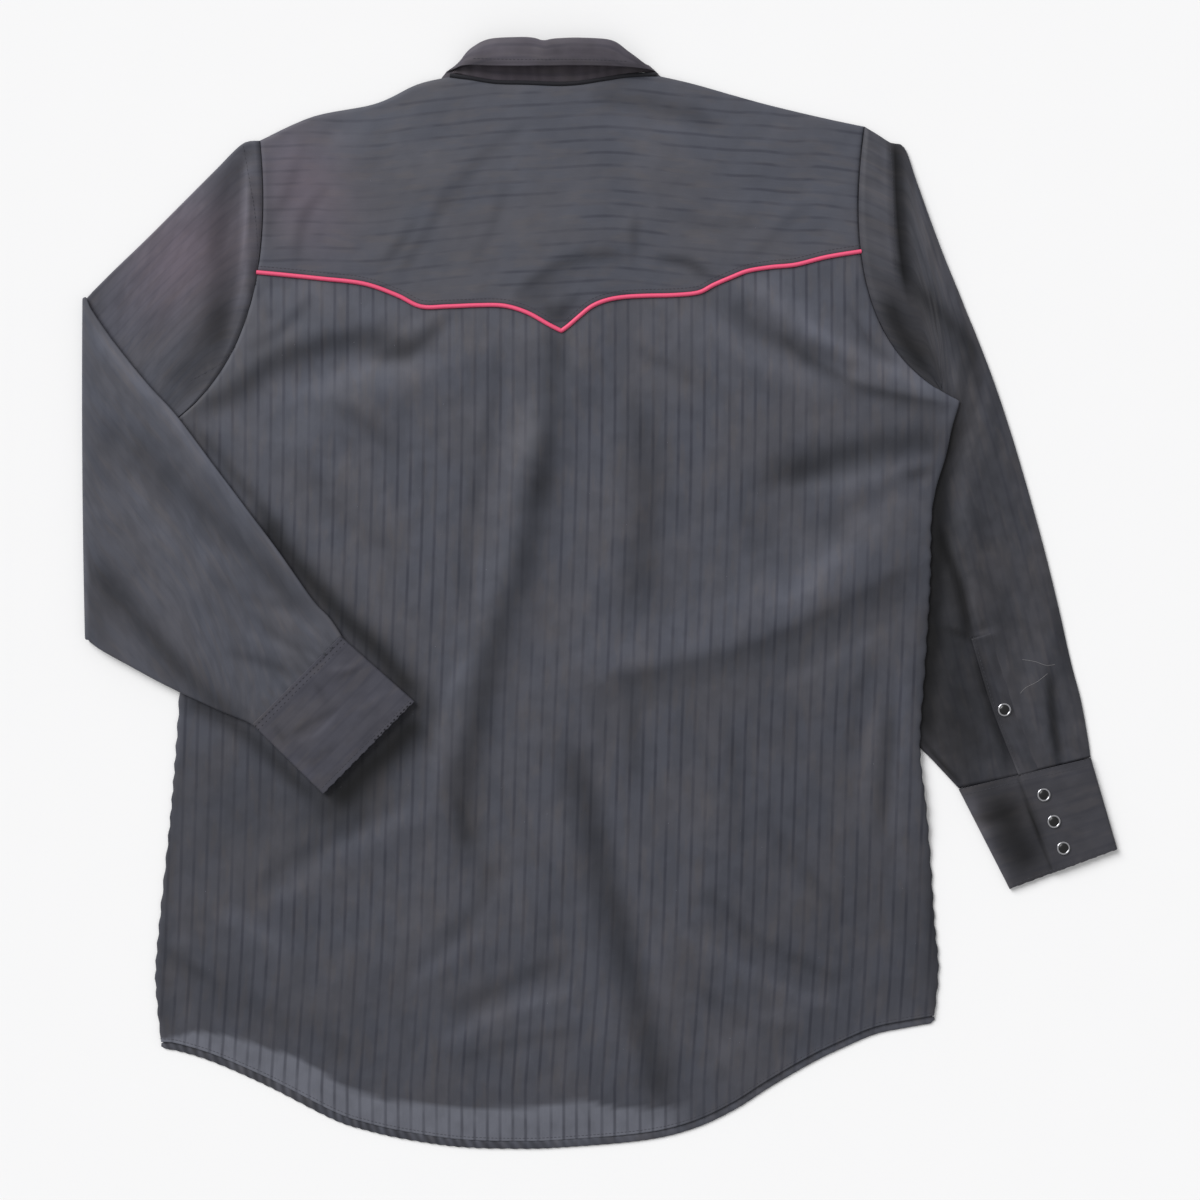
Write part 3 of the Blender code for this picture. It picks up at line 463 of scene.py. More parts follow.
class Term:
    """One socket of a node tree; sums and products of terms add the Math nodes they need."""

    def __init__(self, board: "Board", socket: Socket) -> None:
        """Wrap a socket of a board."""
        self.board = board
        self.socket = socket

    def _math(self, operation: str, *values: "Term | float") -> "Term":
        """A Math node on this board."""
        return self.board.add("ShaderNodeMath", {"operation": operation}, dict(enumerate(values)))

    def __add__(self, other: "Term | float") -> "Term":
        """self + other."""
        return self._math("ADD", self, other)

    def __radd__(self, other: float) -> "Term":
        """other + self."""
        return self._math("ADD", other, self)

    def __sub__(self, other: "Term | float") -> "Term":
        """self - other."""
        return self._math("SUBTRACT", self, other)

    def __rsub__(self, other: float) -> "Term":
        """other - self."""
        return self._math("SUBTRACT", other, self)

    def __mul__(self, other: "Term | float") -> "Term":
        """self * other."""
        return self._math("MULTIPLY", self, other)

    def __rmul__(self, other: float) -> "Term":
        """other * self."""
        return self._math("MULTIPLY", other, self)

    def __truediv__(self, other: "Term | float") -> "Term":
        """self / other."""
        return self._math("DIVIDE", self, other)

    def __rtruediv__(self, other: float) -> "Term":
        """other / self."""
        return self._math("DIVIDE", other, self)

    def folded(self) -> "Term":
        """How far the value lies from the nearest whole number, from 0 to 0.5."""
        return self._math("PINGPONG", self, 0.5)

    def smooth(self, low: float, high: float) -> "Term":
        """0 below low, 1 above high and smooth in between; falling where low is the greater."""
        if low > high:
            return 1.0 - self.smooth(high, low)
        return self.board.add("ShaderNodeMapRange", {"interpolation_type": "SMOOTHSTEP"},
                              {"Value": self, "From Min": low, "From Max": high})


class Board(Tree):
    """The node tree of one material."""

    def __init__(self, material: Material) -> None:
        """Start from an empty tree."""
        material.use_nodes = True
        super().__init__(material.node_tree)
        self.tree.nodes.clear()

    def add(self, kind: str, settings: dict[str, object], inputs: dict[int | str, object],
            output: int | str = 0) -> Term:
        """Add a node as a tree does, and return a term for the wanted output."""
        return Term(self, super().add(kind, settings, inputs, output))

    def mix(self, part: Term, first: object, second: object) -> Term:
        """A colour between two, by a part from 0 to 1."""
        return self.add("ShaderNodeMix", {"data_type": "RGBA"}, {0: part, 6: first, 7: second}, 2)

    def scaled(self, colour: object, amount: object) -> Term:
        """A colour made darker or lighter by an amount."""
        wide = self.add("ShaderNodeCombineColor", {}, {0: amount, 1: amount, 2: amount})
        return self.add("ShaderNodeMix", {"data_type": "RGBA", "blend_type": "MULTIPLY"},
                        {0: 1.0, 6: colour, 7: wide}, 2)

    def attribute(self, name: str) -> Term:
        """A number painted on the mesh."""
        return self.add("ShaderNodeAttribute", {"attribute_name": name}, {}, "Fac")

    def finish(self, shader: Term) -> None:
        """Send a shader to the material's output."""
        node = self.tree.nodes.new("ShaderNodeOutputMaterial")
        self.tree.links.new(shader.socket, node.inputs["Surface"])


Colour = tuple[float, float, float, float]


def dye(red: int, green: int, blue: int) -> Colour:
    """A colour from its screen values, as light amounts."""
    parts = [value / 255 for value in (red, green, blue)]
    linear = [part / 12.92 if part <= 0.04045 else ((part + 0.055) / 1.055) ** 2.4 for part in parts]
    return (*linear, 1.0)


# ---------------------------------------------------------------- finishes

CLOTH_MAP = "cloth"


class Paint(Enum):
    """What is painted on the cloth, by the name of its attribute."""

    PAINTED_SHADING = "tone"           # painted light and shade: how much lighter or darker the cloth is painted, 1 where plain
    STRIPES = "stripes"     # how far its woven stripes show
    SINGLE = "single"       # 1 where only one layer lies on the floor, which is painted lighter as if the pale floor's light came through
    PAINTED_SHEEN = "blush"         # the painted purplish sheen of cloth that faces the light


Paints = dict[Paint, Grid]
PLAIN = {Paint.PAINTED_SHADING: 1.0, Paint.STRIPES: 1.0, Paint.SINGLE: 0.0, Paint.PAINTED_SHEEN: 0.0}


@dataclass(frozen=True)
class Shirting:
    """Thin charcoal cloth with a satin sheen and narrow darker stripes woven in."""

    name: str
    ground: Colour = dye(72, 74, 83)
    stripe: Colour = dye(42, 43, 54)
    # painted light: the lighter ground where a single layer lets the floor's light through
    see_through: Colour = dye(106, 108, 118)
    # painted sheen: the purplish colour of cloth that faces the light
    blush: Colour = dye(112, 96, 108)
    pitch: float = 10.05
    stripe_width: float = 2.3
    stripe_blur: float = 0.75
    shift: float = 0.0
    broken: float = 0.55
    depth: float = 0.6
    blotch: float = 0.12
    faded: ClassVar[Colour] = dye(83, 79, 80)
    sheen: ClassVar[Colour] = dye(190, 190, 205)

    def make(self) -> Material:
        """The cloth's material, which reads its own map in metres along and across the stripes.

        Returns:
            The material.
        """
        material = bpy.data.materials.new(self.name)
        board = Board(material)
        place = board.add("ShaderNodeUVMap", {"uv_map": CLOTH_MAP}, {})
        across = board.add("ShaderNodeSeparateXYZ", {}, {0: place}, "X") * (1 / MM)
        along = board.add("ShaderNodeSeparateXYZ", {}, {0: place}, "Y") * (1 / MM)

        def grain(wide: float, long: float, detail: float = 2.0) -> Term:
            """Noise stretched along the threads, from 0 to 1."""
            point = board.add("ShaderNodeCombineXYZ", {}, {0: across / wide, 1: along / long, 2: self.shift})
            return board.add("ShaderNodeTexNoise", {"noise_dimensions": "3D"},
                             {"Vector": point, "Scale": 1.0, "Detail": detail}, "Fac")

        mottle = grain(34.0, 60.0, 3.0)
        half = self.stripe_width / 2
        away = ((across + self.shift) / self.pitch).folded() * self.pitch
        line = away.smooth(half + self.stripe_blur, half - self.stripe_blur)
        gaps = grain(7.0, 30.0).smooth(0.38, 0.62) * 0.7 + mottle.smooth(0.4, 0.65) * 0.6
        worn = 1.0 - self.broken * gaps
        line = line * worn * board.attribute(Paint.STRIPES.value) * self.depth
        slub = grain(0.55, 14.0, 3.0)
        threads = grain(0.28, 0.9, 1.0)
        streak = grain(7.0, 26.0, 2.0)
        blotch = (grain(13.0, 17.0, 2.0).smooth(0.36, 0.64) - 0.5) * self.blotch

        cloth = board.mix(mottle.smooth(0.35, 0.7) * 0.28 + streak.smooth(0.5, 0.68) * 0.22, self.ground,
                          self.faded)
        # Painted light where a single layer lies over the pale floor
        cloth = board.mix(board.attribute(Paint.SINGLE.value), cloth, self.see_through)
        # Painted sheen where the cloth faces the light
        cloth = board.mix(board.attribute(Paint.PAINTED_SHEEN.value), cloth, self.blush)
        cloth = board.mix(line, cloth, self.stripe)
        light = 0.84 + slub * 0.16 + threads * 0.08 + mottle * 0.1 + streak * 0.06 + blotch
        # The painted light and shade from the mesh, times the cloth's own uneven grain
        cloth = board.scaled(cloth, board.attribute(Paint.PAINTED_SHADING.value) * light)
        relief = board.add("ShaderNodeBump", {}, {"Strength": 0.3, "Distance": 0.00025,
                                                  "Height": slub * 0.5 + threads * 0.6 - line * 0.5})
        shader = board.add("ShaderNodeBsdfPrincipled", {}, {
            "Base Color": cloth, "Roughness": 0.5 + slub * 0.12 - line * 0.08, "Normal": relief,
            "Specular IOR Level": 0.22, "Sheen Weight": 0.03, "Sheen Roughness": 0.45,
            "Sheen Tint": self.sheen})
        board.finish(shader)
        return material


@dataclass(frozen=True)
class Plain:
    """A plain finish with a slight unevenness: cord, thread, metal, enamel or lint."""

    name: str
    colour: Colour
    rough: float
    metal: float = 0.0
    coat: float = 0.0
    grain: float = 1.2
    uneven: float = 0.12
    relief: float = 0.1

    def make(self) -> Material:
        """The material, whose unevenness is fixed to the shirt.

        Returns:
            The material.
        """
        material = bpy.data.materials.new(self.name)
        board = Board(material)
        place = board.add("ShaderNodeTexCoord", {}, {}, "Object")
        noise = board.add("ShaderNodeTexNoise", {}, {"Vector": place, "Scale": 1 / (self.grain * MM),
                                                     "Detail": 3.0}, "Fac")
        colour = board.scaled(self.colour, 1.0 - self.uneven / 2 + noise * self.uneven)
        relief = board.add("ShaderNodeBump", {},
                           {"Strength": self.relief, "Distance": 0.0002, "Height": noise})
        shader = board.add("ShaderNodeBsdfPrincipled", {}, {
            "Base Color": colour, "Roughness": self.rough + noise * self.rough * 0.3, "Metallic": self.metal,
            "Coat Weight": self.coat, "Coat Roughness": 0.06, "Normal": relief})
        board.finish(shader)
        return material


# ---------------------------------------------------------------- meshes

def net(rows: int, columns: int, start: int = 0, closed: bool = False) -> Grid:
    """Corner numbers of the faces between rows of points, which are rings where closed.

    Args:
        rows: How many rows of points there are.
        columns: How many points a row has.
        start: The number of the first point.
        closed: True where each row is a ring.

    Returns:
        Four numbers for each face.
    """
    row = np.arange(rows - 1)[:, None] * columns
    column = np.arange(columns if closed else columns - 1)[None, :]
    after = (column + 1) % columns
    faces = np.stack([row + column, row + after, row + columns + after, row + columns + column], axis=-1)
    return faces.reshape(-1, 4) + start


def in_model(places: Grid) -> Grid:
    """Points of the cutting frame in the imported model's metres."""
    return (places - np.array([*CENTRE, 0.0])) * MM


def into_scene(name: str, data: bpy.types.ID) -> Piece:
    """A new object in the scene, at the origin."""
    thing = bpy.data.objects.new(name, data)
    bpy.context.scene.collection.objects.link(thing)
    return thing


class Cloth:
    """A mesh in the making: points, faces, the cloth map and what is painted on it."""

    def __init__(self, name: str) -> None:
        """Start with no points.

        Args:
            name: The piece's name.
        """
        self.name = name
        self.points: list[Grid] = []
        self.paint: dict[Paint, list[Grid]] = {kind: [] for kind in Paint}
        self.faces: list[Grid] = []
        self.maps: list[Grid] = []
        self.count = 0

    def add_points(self, points: Grid, paint: Paints) -> int:
        """Add points of any grid shape with their paint, and return the first one's number.

        Args:
            points: The points, in millimetres.
            paint: What is painted on each of them.

        Returns:
            The first one's number.
        """
        flat = points.reshape(-1, 3)
        for kind in Paint:
            value = paint.get(kind, PLAIN[kind])
            self.paint[kind].append(np.broadcast_to(value, points.shape[:-1]).reshape(-1))
        self.points.append(flat)
        start = self.count
        self.count += len(flat)
        return start

    def add_faces(self, faces: Grid, maps: Grid) -> None:
        """Add faces of four corners, with the map of each corner."""
        self.faces.append(faces)
        self.maps.append(maps)

    def build(self, material: Material) -> Piece:
        """The finished object, at the origin and facing out.

        Args:
            material: Its finish.

        Returns:
            The piece.
        """
        points = np.vstack(self.points)
        faces, maps = np.vstack(self.faces), np.vstack(self.maps)
        a, b, c, d = (points[faces[:, corner]] for corner in range(4))
        if (a * np.cross(b, c)).sum() + (a * np.cross(c, d)).sum() < 0:     # the volume inside the faces
            faces, maps = faces[:, ::-1], maps[:, ::-1]
        mesh = bpy.data.meshes.new(self.name)
        mesh.from_pydata(in_model(points).tolist(), [], faces.tolist())
        mesh.uv_layers.new(name=CLOTH_MAP).data.foreach_set("uv", (maps * MM).astype(np.float32).ravel())
        for kind, values in self.paint.items():
            layer = mesh.attributes.new(kind.value, "FLOAT", "POINT")
            layer.data.foreach_set("value", np.concatenate(values).astype(np.float32))
        mesh.polygons.foreach_set("use_smooth", [True] * len(faces))
        mesh.materials.append(material)
        log.info("%s: %d faces", self.name, len(faces))
        return into_scene(self.name, mesh)


def corner_maps(maps: Grid, rows: int, columns: int, closed: bool = False) -> Grid:
    """Maps of the faces' corners, from a map grid that has one more column where the rows are rings.

    Args:
        maps: The cloth map at each place.
        rows: How many rows of points there are.
        columns: How many points a row has.
        closed: True where each row is a ring.

    Returns:
        The maps of each face's four corners.
    """
    wide = columns + 1 if closed else columns
    flat = maps.reshape(-1, 2)
    row = np.arange(rows - 1)[:, None] * wide
    column = np.arange(wide - 1)[None, :]
    order = np.stack([row + column, row + column + 1, row + wide + column + 1, row + wide + column], axis=-1)
    return flat[order.reshape(-1, 4)]


def sheet(name: str, upper: Grid, lower: Grid, maps: Grid, paint: Paints, material: Material) -> Piece:
    """A closed sheet of cloth.

    Args:
        name: The piece's name.
        upper: The points of its upper side.
        lower: The points of its lower side.
        maps: The cloth map at each place.
        paint: What is painted on it.
        material: Its finish.

    Returns:
        The object.
    """
    rows, columns = upper.shape[:2]
    cloth = Cloth(name)
    over, under = cloth.add_points(upper, paint), cloth.add_points(lower, paint)
    corners = corner_maps(maps, rows, columns)
    cloth.add_faces(net(rows, columns, over)[:, ::-1], corners[:, ::-1])
    cloth.add_faces(net(rows, columns, under), corners)
    number = np.arange(rows * columns).reshape(rows, columns)
    here = np.concatenate([number[0], number[1:, -1], number[-1, -2::-1], number[-2:0:-1, 0]])
    after = np.roll(here, -1)
    flat = maps.reshape(-1, 2)
    cloth.add_faces(np.stack([here + over, after + over, after + under, here + under], axis=1),
                    np.stack([flat[here], flat[after], flat[after], flat[here]], axis=1))
    return cloth.build(material)


def shell(name: str, plan: Grid, top: Grid, thick: float, maps: Grid, paint: Paints,
          material: Material) -> Piece:
    """A closed sheet of even thickness, by its plan and the heights of its upper side.

    Args:
        name: The piece's name.
        plan: Its places in the plane.
        top: The heights of its upper side.
        thick: Its thickness.
        maps: The cloth map at each place.
        paint: What is painted on it.
        material: Its finish.

    Returns:
        The piece.
    """
    return sheet(name, np.dstack([plan, top]), np.dstack([plan, top - thick]), maps, paint, material)


def tube(name: str, outer: Grid, inner: Grid, maps: Grid, paint: Paints, material: Material) -> Piece:
    """A closed wall of cloth round a hollow, open at both ends.

    Args:
        name: The piece's name.
        outer: Rings of points, one for each row.
        inner: The rings inside them.
        maps: The cloth map, with one more column than the rings have points.
        paint: What is painted on it.
        material: Its finish.

    Returns:
        The object.
    """
    rows, count = outer.shape[:2]
    cloth = Cloth(name)
    out = cloth.add_points(outer, paint)
    within = cloth.add_points(inner, paint)
    corners = corner_maps(maps, rows, count, closed=True)
    cloth.add_faces(net(rows, count, out, closed=True), corners)
    cloth.add_faces(net(rows, count, within, closed=True)[:, ::-1], corners[:, ::-1])
    here = np.arange(count)
    after = (here + 1) % count
    for row, flip in ((0, 1), (rows - 1, -1)):
        base = row * count
        first, second = here + base, after + base
        ring = np.stack([second + out, first + out, first + within, second + within], axis=1)
        edge = maps[row]
        around = np.stack([edge[1:], edge[:-1], edge[:-1], edge[1:]], axis=1)
        cloth.add_faces(ring[:, ::flip], around[:, ::flip])
    return cloth.build(material)


def roll(name: str, rings: Grid, maps: Grid, paint: Paints, material: Material) -> Piece:
    """A solid roll of cloth whose rings close to a point at both ends.

    Args:
        name: The piece's name.
        rings: Rings of points, one for each row.
        maps: The cloth map, with one more column than the rings have points.
        paint: What is painted on it.
        material: Its finish.

    Returns:
        The piece.
    """
    rows, count = rings.shape[:2]
    cloth = Cloth(name)
    ends = [rings[:1].mean(axis=1, keepdims=True), rings[-1:].mean(axis=1, keepdims=True)]
    capped = np.concatenate([np.repeat(ends[0], count, axis=1) * 0.98 + rings[:1] * 0.02, rings,
                             np.repeat(ends[1], count, axis=1) * 0.98 + rings[-1:] * 0.02])
    start = cloth.add_points(capped, {kind: np.concatenate([value[:1], value, value[-1:]])
                                      for kind, value in paint.items()})
    wide = np.concatenate([maps[:1], maps, maps[-1:]])
    cloth.add_faces(net(rows + 2, count, start, closed=True),
                    corner_maps(wide, rows + 2, count, closed=True))
    for row, flip in ((0, -1), (rows + 1, 1)):
        middle = cloth.add_points(capped[row].mean(axis=0)[None], {})
        here = np.arange(0, count, 2)
        ring = np.stack([row * count + here, row * count + (here + 1) % count,
                         row * count + (here + 2) % count, np.full(len(here), middle)], axis=1)
        around = np.repeat(wide[row, :1][None], len(here), axis=0)
        around = np.repeat(around, 4, axis=1)
        cloth.add_faces(ring[:, ::flip], around[:, ::flip])
    return cloth.build(material)


# ---------------------------------------------------------------- the cut

SHOULDER_LEFT = [(-268, 357), (-226, 376), (-177, 386), (-144, 401), (-118, 407)]
SHOULDER_RIGHT = [(45, 408), (76, 401), (130, 386), (176, 375), (209, 368)]
NECK_BACK = [(-118, 407), (-102, 405), (-83, 402), (-58, 401), (-33, 400), (-15, 401), (4, 404), (23, 407),
             (45, 408)]
NECK_FRONT_LEFT = [(-118, 407), (-115, 380), (-98, 352), (-74, 338), (-50, 333)]
NECK_FRONT_RIGHT = [(-46, 333), (-16, 334), (16, 342), (36, 364), (43, 386), (45, 408)]
ARMHOLE_LEFT = bent((-268, 357), (-252, 187), (-346, 129))
ARMHOLE_RIGHT = bent((209, 368), (184, 196), (284.3, 151.3))
SIDE_LEFT = [(-346, 129), (-333, 58), (-328, -6), (-331, -80), (-334, -126), (-338, -175), (-342, -214),
             (-347, -262), (-350, -300), (-348.5, -325), (-346, -353)]
SIDE_RIGHT = [(284.3, 151.3), (278, 131), (273, 108), (265, 82), (261, 55), (260, 7), (256, -58),
              (252, -120), (257, -169), (261, -215), (264, -262), (267, -295), (265, -331)]
YOKE_SEAM_LEFT = [(-270.5, 253), (-249, 251), (-220, 248), (-186, 244), (-160, 235), (-141, 226), (-120, 226),
                  (-95, 227), (-75, 226.5), (-57, 221), (-40, 211.5), (-30, 206.5)]
YOKE_SEAM_RIGHT = [(-30, 206.5), (-24, 211), (-16, 218), (-6, 226), (6, 231), (20, 233.5), (38, 234.5),
                   (59, 235), (78, 237), (90, 243), (104, 249), (117, 254), (135, 257), (155, 259),
                   (179, 265), (206.5, 269.5)]
HEM_BACK = [(-346, -360), (-334, -361), (-305, -370), (-262, -389), (-211, -415), (-184, -424), (-153, -431),
            (-111, -437), (-66, -438.5), (-30, -437.5), (34, -432), (73, -423), (106, -408), (136, -389),
            (169, -370), (194, -358), (218, -348), (242, -343), (265, -339)]
HEM_FRONT_LEFT = [(-338, -350), (-318, -345), (-290, -349), (-264, -358), (-236, -366), (-201, -389),
                  (-170, -399), (-113, -406), (-49.8, -405)]
HEM_FRONT_RIGHT = [(-46, -403), (-12, -399), (16, -406), (60, -405), (100, -390), (140, -368), (180, -350),
                   (220, -338), (262, -331)]
BAND_EDGES = (-49.5, -14.5)
BAND_TOP = 333.0

# How the stripes of the back drift to the left on their way down: height and shift
BACK_DRIFT = [(-390, 20.5), (-340, 17), (-290, 13.5), (-240, 11.5), (-190, 10), (-150, 8.8), (-100, 7.5),
              (-50, 5.5), (0, 3.5), (50, 1.8), (100, 0.6), (160, 0), (250, 0)]
# How the stripes of the yoke arch: place across and drop
YOKE_ARCH = [(-260, 15), (-230, 14), (-205, 15), (-180, 15), (-158, 12.5), (-134, 9.5), (-110, 7),
             (-87, 4.5), (-63, 3.5), (-39, 2.5), (-15, 1), (8, 0), (32, 1.6), (56, 4.3), (80, 6),
             (103, 8), (127, 8.8), (150, 11), (174, 11), (205, 15)]


# Rows across the sleeves, from the armhole on: x and y of the outer edge, of a bend and of the inner edge
RIGHT_ROWS = [
    (209.3, 367.9, 184.3, 196.2, 284, 151), (218.5, 362.5, 206, 194, 283.5, 148.5),
    (228.5, 356, 226, 192, 283, 146), (231.5, 355, 230.5, 192, 282.5, 143),
    (241, 351, 246, 198, 281, 136), (251, 323, 256, 198, 279, 128.5),
    (268.5, 275, 264, 184, 275, 119), (286.5, 230, 268, 160, 263, 107),
    (299, 199, 274, 144, 250, 92), (311.5, 166, 274, 118, 236, 72),
    (324.5, 127, 274, 88, 222, 44), (337, 85, 276, 50, 213, 14),
    (349.5, 40, 281, 10, 211, -20), (361, -6, 288, -30, 216, -52),
    (372, -54, 298, -68, 225, -82), (380, -85, 308, -95, 237, -106),
    (385, -112, 322, -120, 260, -129), (387.6, -129.5, 335, -143.5, 283.4, -154)]
UPPER_ARM_ROWS = [
    (-268.3, 357, -252.4, 186.8, -346.5, 128.8), (-282, 354.5, -272, 200, -350, 122),
    (-303, 334, -306, 200, -357, 104), (-330, 307, -340, 190, -368, 74),
    (-357, 280, -368, 168, -380, 40), (-384, 254, -388, 130, -393, 2),
    (-400, 238, -401.5, 105, -402.5, -28)]
ELBOW_ROW = (-404, 233, -405.2, 98, -402, -37)
FOREARM_ROWS = [
    (-401, 225, -401, 92, -401, -39), (-391, 210, -391, 82, -391, -46),
    (-377, 191, -374, 66, -371, -57), (-355, 164, -352, 46, -349, -69),
    (-333, 140, -332, 28, -331, -78), (-306, 104, -310, 6, -314, -86),
    (-279, 68, -290, -14, -301, -92), (-252, 32, -270, -32, -289, -97),
    (-226, -5, -252, -52, -279, -101), (-212, -20, -243, -62, -275, -103),
    (-201.7, -35.6, -236.8, -70.5, -271.4, -105.5)]

# Round the forearm and its cuff: along the outer edge, over the cuff and back along the inner edge
FOREARM_OUTER = [row[:2] for row in FOREARM_ROWS[:-1]] + [(-203, -34.5)]
FOREARM_EDGE = [*FOREARM_OUTER, (-146, -85), (-218, -158), (-272.6, -104.2),
                *(FOREARM_ROWS[row][4:] for row in (8, 6, 4, 2))]


def seam_sides(aside: float) -> tuple[Grid, Grid]:
    """The yoke seam's two halves, left and right of its point, moved up by a distance."""
    left, right = smooth_line(YOKE_SEAM_LEFT, 6), smooth_line(YOKE_SEAM_RIGHT, 6)
    moved_left, moved_right = beside(left, aside), beside(right, aside)
    middle = (moved_left[-1] + moved_right[0]) / 2
    moved_left[-1] = moved_right[0] = middle
    return moved_left, moved_right


def seam_places(aside: float, across: Grid) -> Grid:
    """Places on the yoke seam, half of them on each side of its point.

    Args:
        aside: How far the places lie above the seam.
        across: Parts from 0 to 1 with 0.5 among them.

    Returns:
        The places.
    """
    left, right = seam_sides(aside)
    first = at_parts(left, np.clip(across * 2, 0, 1))
    second = at_parts(right, np.clip(across * 2 - 1, 0, 1))
    return np.where((across <= 0.5)[:, None], first, second)


def even_count(parts_maker: Callable[[float], Grid], step: float) -> Grid:
    """Parts that include the middle one, by a slightly smaller step if it has to be.

    Args:
        parts_maker: Makes the parts for a step.
        step: The greatest step.

    Returns:
        The parts.
    """
    parts = parts_maker(step)
    while len(parts) % 2 == 0:
        step *= 0.995
        parts = parts_maker(step)
    return parts


CORNER_GAP = 1.5        # least height between a corner of the yoke seam and an armhole's next point


def below(line: Grid, corner: Grid) -> Grid:
    """The part of an armhole below a corner of the yoke seam, from that corner on."""
    return np.vstack([corner[None], line[line[:, 1] < corner[1] - CORNER_GAP]])


def above(line: Grid, corner: Grid) -> Grid:
    """The part of an armhole above a corner of the yoke seam, down to that corner."""
    return np.vstack([line[line[:, 1] > corner[1] + CORNER_GAP], corner[None]])


def outer_edge(armhole: Grid, side: Line, end: Pair, steps: int) -> Grid:
    """An edge of the body, down an armhole and a side to an end point of its own."""
    return np.vstack([armhole, smooth_line([*side[:-1], tuple(end)], steps)[1:]])


@dataclass
class Body:
    """The back, the yoke, the rolled hem and the fronts beneath."""

    solids: Solids
    thick: float = 0.5
    step: float = 3.6
    yoke_step: float = 2.8
    front_step: float = 9.0
    back_size: Pair = (610.0, 640.0)        # how wide and long each panel is, for its steps
    yoke_size: Pair = (480.0, 150.0)
    front_size: Pair = (300.0, 690.0)
    band_width: float = 35.0
    seam_half: float = 0.8                  # from the yoke seam to the cloth on each side
    edge_drop: float = 1.1
    seam_drop: float = 0.5
    edge_reach: float = 3.0
    swell: float = 0.55
    swell_pitch: float = 2.5
    hem_width: float = 7.0
    hem_height: float = 1.7
    hem_overlap: float = 1.2
    hem_step: float = 1.25
    hem_corners: int = 16
    hem_turn: float = 8.1
    hem_pucker: float = 0.175
    back_folds: Sequence[Fold] = ()
    body_shade: Sequence[Mark] = ()
    yoke_folds: Sequence[Fold] = ()
    stripe_gaps: Sequence[Patch] = ()
    sheen_patches: Sequence[Patch] = ()

    def back_plan(self) -> Grid:
        """The back's places, from the yoke seam to the hem.

        Returns:
            A grid of places.
        """
        hem = beside(smooth_line(HEM_BACK, 6), self.hem_width - self.hem_overlap)
        across = even_count(lambda step: graded(self.back_size[0], step), self.step)
        down = graded(self.back_size[1], self.step)
        top, bottom = seam_places(-self.seam_half, across), at_parts(hem, across)
        left = outer_edge(below(ARMHOLE_LEFT, top[0]), SIDE_LEFT, bottom[0], 6)
        right = outer_edge(below(ARMHOLE_RIGHT, top[-1]), SIDE_RIGHT, bottom[-1], 6)
        left, right = self.puckered(left, -1.0), self.puckered(right, 1.0)
        return coons(top, bottom, at_parts(left, down), at_parts(right, down), across, down)

    def puckered(self, line: Grid, side: float) -> Grid:
        """A side edge that swells out between the stitches that draw it in, 1 for the right side.

        Args:
            line: The edge.
            side: 1 for the right side and -1 for the left.

        Returns:
            The edge's places.
        """
        fine = at_parts(line, np.linspace(0, 1, 600))
        along = lengths(fine)
        swell = self.swell * (1.0 + wavy(along, self.swell_pitch, 1.6, 23.0))
        swell *= ramp(-fine[:, 1], -90.0, -40.0) * ramp(along[-1] - along, 0.0, 14.0)
        return fine + (beside(fine, side) - fine) * swell[:, None]

    def yoke_plan(self) -> Grid:
        """The yoke's places, from the shoulders to the seam.

        Returns:
            A grid of places.
        """
        across = even_count(lambda step: graded(self.yoke_size[0], step), self.yoke_step)
        down = graded(self.yoke_size[1], self.yoke_step)
        shoulders = np.vstack([smooth_line(SHOULDER_LEFT, 6), smooth_line(NECK_BACK, 6)[1:],
                               smooth_line(SHOULDER_RIGHT, 6)[1:]])
        top, bottom = at_parts(shoulders, across), seam_places(self.seam_half, across)
        left, right = above(ARMHOLE_LEFT, bottom[0]), above(ARMHOLE_RIGHT, bottom[-1])
        return coons(top, bottom, at_parts(left, down), at_parts(right, down), across, down)

    def paint(self, plan: Grid, tone: Grid, stripes: float) -> Paints:
        """What is painted on the back or the yoke: its painted light and shade, its stripes with their gaps,
        its painted purplish sheen.
        """
        return {Paint.PAINTED_SHADING: tone, Paint.PAINTED_SHEEN: np.clip(total_at(self.sheen_patches, plan), 0, 1),
                Paint.STRIPES: np.clip(stripes + total_at(self.stripe_gaps, plan), 0.0, 1.2)}

    def back(self) -> Piece:
        """The back panel's cloth.

        Returns:
            The piece.
        """
        plan = self.back_plan()
        edges = border_distances(plan)
        sides, low = edges["sides"], edges["bottom"]
        top = relaxed(self.solids.heights("back_panel", plan), 10)
        forearm = beside_line(np.array(FOREARM_EDGE, float), plan)[0]
        free = ramp(sides, 0.0, 16.0) * ramp(forearm, -6.0, 14.0)
        top = top + (height_at(self.back_folds, plan) + 0.16 * ripple(plan, 17.0, 0.8)) * free
        top = top + 0.12 * ripple(plan, 6.5, 2.0) * ramp(sides, 0.0, 8.0)
        top -= self.edge_drop * drop(sides, self.edge_reach)
        top -= self.seam_drop * drop(edges["top"], self.edge_reach)
        drawn = bell(low, 7.0, 8.0) * ramp(low, 0.0, 4.0)
        top += self.hem_pucker * wavy(edges["left"], 1.9, 1.2, 23.0) * drawn
        top = np.maximum(top, self.thick + 0.05)
        drift = np.interp(plan[..., 1], *smooth_line(BACK_DRIFT, 8).T)
        # Painted shade: the folds, the shadows on the back, and a darker line beside the yoke seam under the
        # piping
        tone = shade_at([*self.back_folds, *self.body_shade], plan) * (1.0 - 0.5 * bell(edges["top"], 1.8))
        paint = self.paint(plan, tone, 0.95)
        past_fronts = -beside_line(np.array(HEM_FRONT_LEFT + HEM_FRONT_RIGHT, float), plan)[0]
